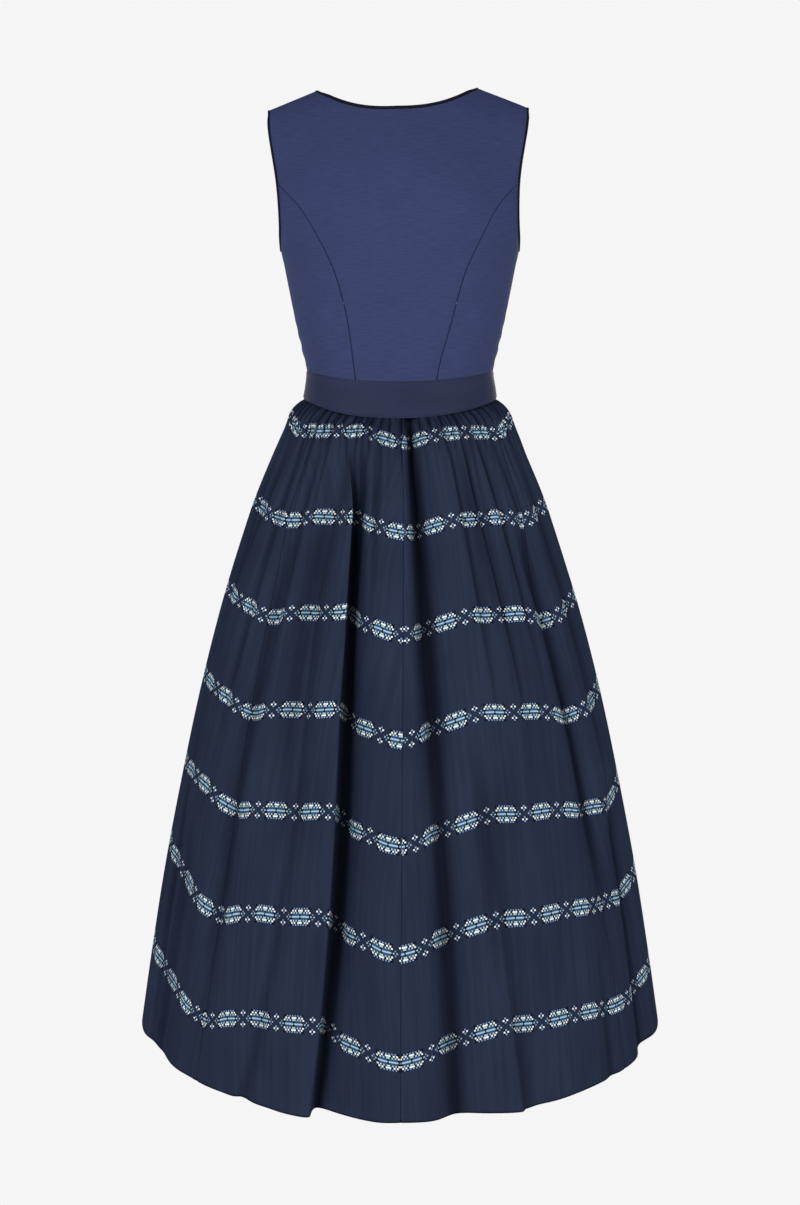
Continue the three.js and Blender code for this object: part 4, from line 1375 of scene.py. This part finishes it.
@dataclass(frozen=True)
class Bodice:
    """The seven panels of the bodice, with their edges rolled in at the seams."""

    form: BodiceForm
    wall: float = 0.0014
    seam_turn: float = 0.1
    seam_roll: float = 0.0006
    roll_width: float = 0.0014
    columns: int = 60
    neck_columns: int = 49
    rows: int = 104
    seam_rows: int = 64
    side_columns: int = 36
    level_share: float = 0.6
    calm_edge: float = 0.08
    wrinkle: float = 0.0009
    wrinkle_height: float = -0.325
    wrinkle_reach: float = 0.035
    wrinkle_turns: Span = (25.0, 75.0)
    wrinkle_slant: float = 0.00022
    wrinkle_pitch: float = 0.021
    blade_height: float = -0.10
    blade_reach: float = 0.05

    @property
    def neck_share(self) -> float:
        """Share of a centre panel's top that is neckline; the rest is shoulder."""
        return self.neck_columns / self.columns

    @property
    def seam_share(self) -> float:
        """Share of a centre panel's far edge that is princess seam; the rest is armhole."""
        return self.seam_rows / self.rows

    def centre_patch(self, half: Half) -> Patch:
        """The edges of half a centre panel: centre line, waist, princess seam and armhole, and neck."""
        form = self.form
        foot = form.princess(half, np.zeros(1))[0] - self.seam_turn
        top_height = form.neckline(half, np.zeros(1))[1]

        def top(share: np.ndarray) -> Place:
            """Neckline, then shoulder seam."""
            neck = form.neckline(half, np.clip(share / self.neck_share, 0.0, 1.0))
            rest = np.clip((share - self.neck_share) / (1 - self.neck_share), 0.0, 1.0)
            shoulder = form.shoulder(rest)
            on_neck = share <= self.neck_share
            return np.where(on_neck, neck[0], shoulder[0]), np.where(on_neck, neck[1], shoulder[1])

        def far(share: np.ndarray) -> Place:
            """Princess seam, then armhole."""
            seam = form.princess(half, np.clip(share / self.seam_share, 0.0, 1.0))
            rest = np.clip((share - self.seam_share) / (1 - self.seam_share), 0.0, 1.0)
            hole = form.armhole(half, rest, False)
            on_seam = share <= self.seam_share
            turn = np.where(on_seam, seam[0] - self.seam_turn, hole[0])
            return turn, np.where(on_seam, seam[1], hole[1])

        def near(share: np.ndarray) -> Place:
            """Centre line."""
            return np.zeros_like(share), mix(form.band_top(0.0), top_height, share)

        return Patch(lambda share: (foot * share, form.band_top(foot * share)), top, near, far)

    def side_patch(self, half: Half) -> Patch:
        """The edges of a side panel: princess seam, waist, side seam and the foot of the armhole."""
        form = self.form
        foot = form.princess(half, np.zeros(1))[0] + self.seam_turn

        def bottom(share: np.ndarray) -> Place:
            """Waist."""
            turn = mix(foot, 90.0, share)
            return turn, form.band_top(turn)

        def top(share: np.ndarray) -> Place:
            """Lower part of the armhole."""
            turn, height = form.armhole(half, share, True)
            return turn + self.seam_turn * (1 - share), height

        def near(share: np.ndarray) -> Place:
            """Princess seam."""
            turn, height = form.princess(half, share)
            return turn + self.seam_turn, height

        def far(share: np.ndarray) -> Place:
            """Side seam."""
            return np.full_like(share, 90.0), mix(form.band_top(90.0), form.underarm, share)

        return Patch(bottom, top, near, far)

    def relief(self, turn: np.ndarray, height: np.ndarray) -> np.ndarray:
        """Height of the soft wrinkles, which run in from the side seams above the waist."""
        low = np.exp(-(((height - self.wrinkle_height) / self.wrinkle_reach) ** 2))
        side = smoothstep(np.abs(turn), *self.wrinkle_turns)
        slant = height + self.wrinkle_slant * np.abs(turn)
        waist = low * side * np.sin(slant * 2 * math.pi / self.wrinkle_pitch)
        high = np.exp(-(((height - self.blade_height) / self.blade_reach) ** 2))
        blade = high * np.sin(np.abs(turn) * 0.16 + height * 40.0)
        return self.wrinkle * (waist * 0.6 + blade * 0.5)

    def seam_distance(self, along: np.ndarray, grid: Grid, whole: bool, far_seam: float) -> np.ndarray:
        """Distance of each place on a panel from its nearest seam.

        Args:
            along: Distance along the cloth from the panel's first column.
            grid: The panel's grid.
            whole: Whether the panel lies across the centre, with a far edge on either side.
            far_seam: Share of a far edge that is a seam, from the waist up.

        Returns:
            The distances, at most a metre.
        """
        back = along[:, [-1]] - along
        far = np.minimum(back, along) if whole else back
        near = np.full_like(along, 1.0) if whole else np.minimum(along, 1.0)
        on_seam = grid.rows[:, None] <= far_seam + TINY
        return np.where(on_seam, np.minimum(near, far), near)

    def panel(
        self, name: str, half: Half, patch: Patch, grid: Grid, side: Side | None, far_seam: float
    ) -> tuple[bpy.types.Object, Cut]:
        """Builds one panel.

        Args:
            name: The panel's name, which is its node's.
            half: Back or front.
            patch: The panel's edges, or those of its right half.
            grid: The shares of its columns and rows, the columns from -1 to 1 on a whole panel.
            side: Left or right, or nothing for a panel that lies across the centre.
            far_seam: Share of its far edge that is a seam, from the waist up.

        Returns:
            The panel and its cut.
        """
        hand = 1.0 if side is None else side.value
        columns, rows = np.meshgrid(grid.columns, grid.rows)
        turns, heights = patch.place(np.abs(columns), rows)
        turns = evened(turns * np.where(columns < 0, -1.0, 1.0) * hand, grid)
        heights = evened(heights, grid)
        flat = self.form.point(half, turns, heights)
        along = lengths_along(flat, 1)
        middle = along - along[:, [int(np.argmin(np.abs(grid.columns)))]]
        bm, i, j = grid.mesh()
        points, turn, up = flat[i, j], turns[i, j], grid.rows[i]
        seam = self.seam_distance(along, grid, side is None, far_seam)[i, j]
        normal = self.form.normal(half, turn, points[:, 2])
        roll = self.seam_roll * np.exp(-((seam / self.roll_width) ** 2))
        calm = smoothstep(np.minimum(up, 1 - up), 0.0, self.calm_edge)
        raised = self.relief(turn, points[:, 2]) * calm
        points = points + normal * (raised - roll)[:, None]
        move_to(bm, points)
        if half.value * hand > 0:
            bmesh.ops.reverse_faces(bm, faces=bm.faces)
        piece = sheet_from(bm, name + "_cloth", np.stack([middle[i, j], points[:, 2], seam], axis=-1))
        thicken(piece, self.wall)
        return piece, cut_of(flat, self.level_share)

    def build(self, material: bpy.types.Material, trims: dict[str, list]) -> list[bpy.types.Object]:
        """Builds the seven panels and declares their cloth."""
        half_columns = seam_shares(self.columns, False)
        rows = np.linspace(0.0, 1.0, self.rows + 1)
        whole = Grid(np.concatenate([-half_columns[:0:-1], half_columns]), rows)
        one_half = Grid(half_columns, rows)
        side_grid = Grid(seam_shares(self.side_columns, True), np.linspace(0.0, 1.0, self.seam_rows + 1))
        pieces = []

        def add(name: str, half: Half, patch: Patch, grid: Grid, side: Side | None, far_seam: float) -> None:
            """Builds, dresses and declares one panel."""
            piece, cut = self.panel(name, half, patch, grid, side, far_seam)
            put_on(piece, Slot.BODICE, material, name)
            declare(piece, cut, Held.STRETCHED, trims.get(name, []))
            pieces.append(piece)

        add("bodice_back_centre", Half.BACK, self.centre_patch(Half.BACK), whole, None, self.seam_share)
        for side in Side:
            end = side.name.lower()
            back, front = self.side_patch(Half.BACK), self.side_patch(Half.FRONT)
            fore = self.centre_patch(Half.FRONT)
            add(f"bodice_back_side_{end}", Half.BACK, back, side_grid, side, 1.0)
            add(f"bodice_front_side_{end}", Half.FRONT, front, side_grid, side, 1.0)
            add(f"bodice_front_{end}", Half.FRONT, fore, one_half, side, self.seam_share)
        return pieces


def evened(values: np.ndarray, grid: Grid, rounds: int = 600) -> np.ndarray:
    """Evens out the values inside a grid, between those along its edges.

    Args:
        values: The values, by row and column of the grid.
        grid: The grid that they lie on.
        rounds: How often each value is drawn towards its four neighbours.

    Returns:
        The evened values.
    """
    before, after = np.diff(grid.columns)[:-1], np.diff(grid.columns)[1:]
    under, over = np.diff(grid.rows)[:-1, None], np.diff(grid.rows)[1:, None]
    weights = (
        2 / ((before + after) * before),
        2 / ((before + after) * after),
        2 / ((under + over) * under),
        2 / ((under + over) * over),
    )
    eased = values.copy()
    for _ in range(rounds):
        neighbours = (eased[1:-1, :-2], eased[1:-1, 2:], eased[:-2, 1:-1], eased[2:, 1:-1])
        eased[1:-1, 1:-1] = sum(w * n for w, n in zip(weights, neighbours)) / sum(weights)
    return eased


def seam_shares(count: int, both: bool) -> np.ndarray:
    """Shares from 0 to 1 in even steps, with three fine steps added at the end, or at both ends."""
    fine = (1.0 / count) * np.array([0.14, 0.32, 0.6])
    even = np.linspace(0.0, 1.0, count + 1)[1:-1]
    return np.concatenate([[0.0], fine if both else [], even, 1.0 - fine[::-1], [1.0]])


# ---- Piping ----


EdgePlace = tuple[Half, float, float]


@dataclass(frozen=True)
class CordLine:
    """A cord's middles, its directions away from the cloth's edge and out of the cloth, and its length."""

    middles: np.ndarray
    away: np.ndarray
    out: np.ndarray
    along: np.ndarray


@dataclass(frozen=True)
class Piping:
    """Round pipings along the neck and the armholes."""

    form: BodiceForm
    neck_radius: float = 0.0021
    armhole_radius: float = 0.0016
    sink: float = 0.0007
    proud: float = 0.0004
    crown_depths: Span = (0.003, 0.016)
    crown_sink: float = 0.7
    crown_draw: float = 0.45
    sides: int = 12
    steps: int = 12
    neck_stretches: int = 7
    armhole_stretches: int = 6
    throat_height: float = 0.06
    armhole_out: float = 0.158
    armhole_height: float = -0.1

    def line(self, places: list[EdgePlace], radius: float, hollow: np.ndarray, closed: bool) -> CordLine:
        """Finds the line of a piping beside a cloth edge.

        Args:
            places: Half, turn and height of each place along the edge.
            radius: Radius of the piping.
            hollow: The middle of the opening that the edge surrounds.
            closed: Whether the piping is a ring.

        Returns:
            The line.
        """
        spots = [(half, np.array([turn]), np.array([height])) for half, turn, height in places]
        points = np.array([self.form.point(*spot)[0] for spot in spots])
        normals = np.array([self.form.normal(*spot)[0] for spot in spots])
        if closed:
            before, after = np.roll(points, 1, axis=0), np.roll(points, -1, axis=0)
        else:
            before = np.concatenate([points[:1], points[:-1]])
            after = np.concatenate([points[1:], points[-1:]])
        tangents = unit(after - before)
        away = unit(np.cross(tangents, normals))
        away = away * np.sign(np.sum(away * (hollow - points), axis=-1))[:, None]
        out = unit(np.cross(away, tangents))
        out = out * np.sign(np.sum(out * normals, axis=-1))[:, None]
        heights = np.array([height for _, _, height in places])
        below = np.abs(self.form.shoulder_line(points[:, 0]) - heights)
        crown = (1 - smoothstep(below, *self.crown_depths))[:, None]
        middles = points + normals * (self.proud - self.crown_sink * radius * crown)
        middles = middles + away * (radius * (1 - self.crown_draw * crown) - self.sink)
        along = lengths_along(points[:, None, :], 0)[:, 0]
        if closed:
            middles, away, out = (np.concatenate([rows, rows[:1]]) for rows in (middles, away, out))
            along = np.concatenate([along, along[-1:] + np.linalg.norm(points[0] - points[-1])])
        else:
            out[[0, -1]] = out[[1, -2]]
            away[[0, -1]] = away[[1, -2]]
            middles[[0, -1], 0] = SEAM_GAP / 2 * np.sign(points[[1, -2], 0])
        return CordLine(middles, away, out, along)

    def tube(self, name: str, line: CordLine, radius: float, closed: bool) -> bpy.types.Object:
        """Builds a round piping along its line, with flat ends where it isn't a ring."""
        grid = Grid(np.linspace(0.0, 1.0, self.sides + 1), np.arange(len(line.middles), dtype=float))
        bm, i, j = grid.mesh()
        share = grid.columns[j]
        angle = 2 * math.pi * share[:, None]
        spoke = line.away[i] * np.cos(angle) + line.out[i] * np.sin(angle)
        made = line.middles[i] + spoke * radius
        if not closed:
            end = (i == 0) | (i == len(line.middles) - 1)
            made[end, 0] = line.middles[i[end], 0]
        move_to(bm, made)
        cloth = np.stack([share * 2 * math.pi * radius, line.along[i], np.ones_like(share)], axis=-1)
        layer = bm.verts.layers.float_vector.new(CLOTH_LAYER)
        for vertex, place in zip(bm.verts, cloth):
            vertex[layer] = Vector(place)
        bmesh.ops.remove_doubles(bm, verts=bm.verts, dist=TINY)
        if not closed:
            bmesh.ops.holes_fill(bm, edges=[edge for edge in bm.edges if edge.is_boundary], sides=0)
        bmesh.ops.recalc_face_normals(bm, faces=bm.faces)
        piece = link_new(bm, name)
        smooth(piece)
        return piece

    def neck_places(self) -> list[EdgePlace]:
        """The neckline from the centre front round the right, the back and the left."""
        shares = np.linspace(0.0, 1.0, self.neck_stretches * self.steps + 1)
        front = list(zip(*self.form.neckline(Half.FRONT, shares)))
        back = list(zip(*self.form.neckline(Half.BACK, shares)))
        right_front = [(Half.FRONT, turn, height) for turn, height in front]
        right_back = [(Half.BACK, turn, height) for turn, height in back[:-1]][::-1]
        left_back = [(Half.BACK, -turn, height) for turn, height in back[1:-1]]
        left_front = [(Half.FRONT, -turn, height) for turn, height in front][::-1]
        return right_front + right_back + left_back + left_front

    def armhole_places(self, side: Side) -> list[EdgePlace]:
        """An armhole from the underarm up the back and down the front."""
        shares = np.linspace(0.0, 1.0, self.armhole_stretches * self.steps + 1)

        def edge(half: Half, downwards: bool) -> list[EdgePlace]:
            """One stretch of the armhole."""
            turns, heights = self.form.armhole(half, shares, downwards)
            return [(half, turn * side.value, height) for turn, height in zip(turns, heights)]

        up_back = edge(Half.BACK, True)[1:][::-1] + edge(Half.BACK, False)
        down_front = edge(Half.FRONT, False)[:-1][::-1] + edge(Half.FRONT, True)[1:-1]
        return up_back + down_front

    def build(self, material: bpy.types.Material) -> dict[str, bpy.types.Object]:
        """Builds the three pipings, by the names of their nodes."""
        throat = np.array([0.0, 0.0, self.throat_height])
        neck = self.line(self.neck_places(), self.neck_radius, throat, False)
        pieces = {"neck_piping": self.tube("neck_piping_cord", neck, self.neck_radius, False)}
        for side in Side:
            hole = np.array([side.value * self.armhole_out, 0.0, self.armhole_height])
            node = f"armhole_piping_{side.name.lower()}"
            line = self.line(self.armhole_places(side), self.armhole_radius, hole, True)
            pieces[node] = self.tube(node + "_cord", line, self.armhole_radius, True)
        for node, piece in pieces.items():
            put_on(piece, Slot.PIPING, material, node)
            LOG.info("%s: %d faces", piece.name, len(piece.data.polygons))
        return pieces


# ---- Waistband ----


@dataclass(frozen=True)
class Waistband:
    """The smooth band round the waist, folded over at both edges, which parts at the centre front."""

    form: BodiceForm
    proud: float = 0.0012
    wall: float = 0.0022
    overlap: float = 0.0012
    edge_roll: float = 0.0011
    roll_share: float = 0.045
    wave: float = 0.0006
    columns: int = 360
    edge_rows: tuple[float, ...] = (0.0, 0.012, 0.03, 0.055, 0.09)
    middle_rows: Span = (0.14, 0.86)
    middle_count: int = 13

    def surface(self, column: np.ndarray, row: np.ndarray) -> np.ndarray:
        """Points of the band, by the share round from the centre front and the share up."""
        angle = mix(-180.0, 180.0, column)
        back = np.abs(angle) <= 90.0
        turn = np.where(back, angle, np.sign(angle) * (180.0 - np.abs(angle)))
        top = self.form.band_top(turn) + self.overlap
        height = mix(self.form.band_bottom(turn), top, row)
        edge = np.minimum(row, 1 - row) / self.roll_share
        proud = self.proud - self.edge_roll * np.exp(-(edge**2))
        proud = proud + self.wave * np.sin(angle * 0.09 + 2.0 * row) * np.sin(math.pi * row) ** 2

        def either(read: Callable) -> np.ndarray:
            """Reads the half of the form that each place is on."""
            return np.where(back[..., None], read(Half.BACK, turn, height), read(Half.FRONT, turn, height))

        return either(self.form.point) + either(self.form.normal) * proud[..., None]

    def build(self, material: bpy.types.Material) -> bpy.types.Object:
        """Builds the band and declares its cloth."""
        fine = np.array(self.edge_rows)
        rows = np.concatenate([fine, np.linspace(*self.middle_rows, self.middle_count), 1.0 - fine[::-1]])
        grid = Grid(np.linspace(0.0, 1.0, self.columns + 1), rows)
        flat = self.surface(*np.meshgrid(grid.columns, grid.rows))
        along = lengths_along(flat, 1)
        up = lengths_along(flat, 0)
        bm, i, j = grid.mesh()
        points = self.surface(grid.columns[j], grid.rows[i])
        ends = (j == 0) | (j == self.columns)
        points[ends, 0] = SEAM_GAP / 2 * np.where(j[ends] == 0, -1.0, 1.0)
        move_to(bm, points)
        cloth = np.stack([along[i, j], up[i, j], np.ones(len(i))], axis=-1)
        piece = sheet_from(bm, "waistband_satin", cloth)
        thicken(piece, self.wall)
        put_on(piece, Slot.BAND, material, "waistband")
        declare(piece, cut_of(flat), Held.STRETCHED, [])
        return piece


# ---- Skirt ----


@dataclass(frozen=True)
class Skirt:
    """The six gathered gores, with their seams and a narrow turned hem."""

    form: SkirtForm
    wall: float = 0.0008
    columns_per_gather: int = 24
    rows: int = 100
    seam_roll: float = 0.0007
    roll_width: float = 0.0022
    tuck: float = 0.004
    valley_drop: float = 0.32
    row_spacing: float = 1.5
    hem_rows: tuple[float, ...] = (0.0035, 0.0046, 0.0058)
    hem_half: float = 0.0006
    hem_sink: float = 0.0005
    # How far up from its bottom edge the hem is drawn dark.
    hem_dark_edge: float = 0.0020
    seam_inset: float = 0.0002
    calm_top: float = 0.03

    def shares(self) -> np.ndarray:
        """Shares of the skirt's length, finest at the waistband, from the hem up."""
        down = np.linspace(0.0, 1.0, self.rows + 1) ** self.row_spacing
        every = np.sort(np.concatenate([down, 1.0 - np.array(self.hem_rows)]))
        return 1.0 - every[::-1]

    def levels(self, gore: Gore, across: np.ndarray, down: np.ndarray) -> np.ndarray:
        """How much lower than a level line the woven bands run."""
        twin = mix(gore.twin_start, gore.twin_end, across)
        if gore.twin_start == gore.twin_end:
            reach = math.copysign((gore.end - gore.start) / 2, gore.twin_start)
            twin = gore.twin_start + reach * (1 - np.abs(2 * across - 1))
        knots = [knot[0] for knot in LEVEL_KNOTS]
        level = np.zeros_like(down)
        for k, (_, first, second, share) in enumerate(LEVEL_KNOTS):
            near = np.interp(twin, knots, np.eye(len(knots))[k])
            ends = (read_table(BAND_LEVELS, column, down) for column in (first, second))
            level = level + near * mix(*ends, share)
        return level

    def gore(self, gore: Gore, material: bpy.types.Material) -> bpy.types.Object:
        """Builds one gore and declares its cloth."""
        columns = np.linspace(0.0, 1.0, gore.gathers * self.columns_per_gather + 1)
        grid = Grid(columns, self.shares())
        across, up = np.meshgrid(grid.columns, grid.rows)
        share, count = 1.0 - up, across * gore.gathers
        turned = self.form.angle(gore, count)
        points = self.form.point(gore, count, share)
        along = lengths_along(points, 1)
        middle = along - along[:, [len(columns) // 2]]
        seam = np.minimum(along, along[:, [-1]] - along)
        flat_down = read_table(CLOTH_LENGTHS, "down", share)
        down = flat_down - self.levels(gore, across, flat_down)
        down = down - self.valley_drop * self.form.fold_depth(turned, share)
        cut = cut_of(points)
        calm = smoothstep(share, 0.0, self.calm_top)
        roll = self.seam_roll * np.exp(-((seam / self.roll_width) ** 2)) * calm
        roll = roll + self.hem_sink * (np.abs((1 - share) - self.hem_rows[1]) < self.hem_half)
        angle = np.radians(turned)
        outwards = np.stack([np.sin(angle), -np.cos(angle), np.zeros_like(angle)], axis=-1)
        points = points - outwards * roll[..., None]
        top = share <= 0.0
        points[..., 2] = np.where(top, points[..., 2] + self.tuck, points[..., 2])
        # The bottom 2 mm of the hem count as a seam, so the cloth is drawn darker along the hem edge.
        from_hem = np.maximum((1 - share) * self.form.length - self.hem_dark_edge, 0.0)
        nearest = np.minimum(seam + self.seam_inset, from_hem)
        bm, i, j = grid.mesh()
        move_to(bm, points[i, j])
        cloth = np.stack([middle + gore.phase, down, nearest], axis=-1)[i, j]
        # Each vertex carries its painted shade in the fold valleys.
        piece = sheet_from(bm, gore.name + "_cloth", cloth, self.form.hollow(gore, count, share)[i, j])
        thicken(piece, self.wall)
        put_on(piece, Slot.SKIRT, material, gore.name)
        declare(piece, cut, Held.GATHERED, [])
        return piece

    def build(self, material: bpy.types.Material) -> list[bpy.types.Object]:
        """Builds the six gores."""
        return [self.gore(gore, material) for gore in GORES]


# ---- Studio ----


@dataclass(frozen=True)
class SoftLight:
    """A large soft light that looks at the middle of the dress."""

    name: str
    place: tuple[float, float, float]
    width: float
    height: float
    power: float

    def build(self, target: Vector) -> None:
        """Makes the light."""
        data = bpy.data.lights.new(self.name, "AREA")
        data.shape = "RECTANGLE"
        data.size = self.width
        data.size_y = self.height
        data.energy = self.power
        light = bpy.data.objects.new(self.name, data)
        light.location = self.place
        light.rotation_euler = (target - light.location).to_track_quat("-Z", "Y").to_euler()
        bpy.context.scene.collection.objects.link(light)


@dataclass(frozen=True)
class Studio:
    """Pale floor and surroundings, soft lights and the camera."""

    floor_height: float = -1.42
    floor_width: float = 40.0
    wall_place: float = 8.0
    wall_height: float = 5.0
    surround: Colour = paint(122, 124, 128)
    camera_distance: float = 2.4
    camera_height: float = -0.287
    camera_tilt: float = 9.09
    lens: float = 52.76
    sensor: float = 36.0
    clip: Span = (0.1, 100.0)
    aim: tuple[float, float, float] = (0.0, 0.0, -0.62)
    lights: tuple[SoftLight, ...] = (
        SoftLight("key", (-1.6, -3.2, 1.0), 0.9, 1.3, 61.0),
        SoftLight("fill", (2.1, -2.6, 0.5), 1.0, 1.6, 30.0),
        SoftLight("front", (0.9, 3.4, 0.6), 1.4, 2.0, 34.0),
    )

    def floor(self, finish: PaleFloor) -> None:
        """Makes the floor, which turns up into a wall on the far side of the dress."""
        bm = bmesh.new()
        bmesh.ops.create_grid(bm, x_segments=1, y_segments=1, size=self.floor_width / 2)
        bmesh.ops.translate(bm, verts=bm.verts, vec=(0.0, self.wall_place - self.floor_width / 2, 0.0))
        back = [edge for edge in bm.edges if all(vertex.co.y > 0.0 for vertex in edge.verts)]
        raised = bmesh.ops.extrude_edge_only(bm, edges=back)["geom"]
        risen = [item for item in raised if isinstance(item, bmesh.types.BMVert)]
        bmesh.ops.translate(bm, verts=risen, vec=(0.0, 0.0, self.wall_height))
        bmesh.ops.translate(bm, verts=bm.verts, vec=(0.0, 0.0, self.floor_height))
        floor = link_new(bm, "studio_floor")
        floor.data.materials.append(finish.material())

    def camera(self) -> None:
        """Makes the camera, which looks a little down on the back of the dress."""
        data = bpy.data.cameras.new("camera")
        data.sensor_width = self.sensor
        data.lens = self.lens
        data.clip_start, data.clip_end = self.clip
        camera = bpy.data.objects.new("camera", data)
        camera.location = (0.0, -self.camera_distance, self.camera_height)
        camera.rotation_euler = (math.radians(90.0 - self.camera_tilt), 0.0, 0.0)
        bpy.context.scene.collection.objects.link(camera)
        bpy.context.scene.camera = camera

    def build(self, floor_finish: PaleFloor) -> None:
        """Makes the floor, the surroundings, the lights and the camera."""
        self.floor(floor_finish)
        world = bpy.data.worlds.new("surroundings")
        world.use_nodes = True
        world.node_tree.nodes["Background"].inputs["Color"].default_value = (*self.surround, 1.0)
        bpy.context.scene.world = world
        for light in self.lights:
            light.build(Vector(self.aim))
        self.camera()
        bpy.context.scene.view_settings.view_transform = "Standard"


def main() -> None:
    """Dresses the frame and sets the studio."""
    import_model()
    Studio().build(PaleFloor())
    body = BodiceForm()
    pipings = Piping(body).build(PipingSatin().material())
    trims = {
        "bodice_back_centre": [pipings["neck_piping"]],
        "bodice_back_side_left": [pipings["armhole_piping_left"]],
        "bodice_back_side_right": [pipings["armhole_piping_right"]],
    }
    Waistband(body).build(BandSatin().material())
    Bodice(body).build(BodiceCloth().material(), trims)
    Skirt(SkirtForm(body)).build(SkirtCloth().material())


if __name__ == "__main__":
    main()
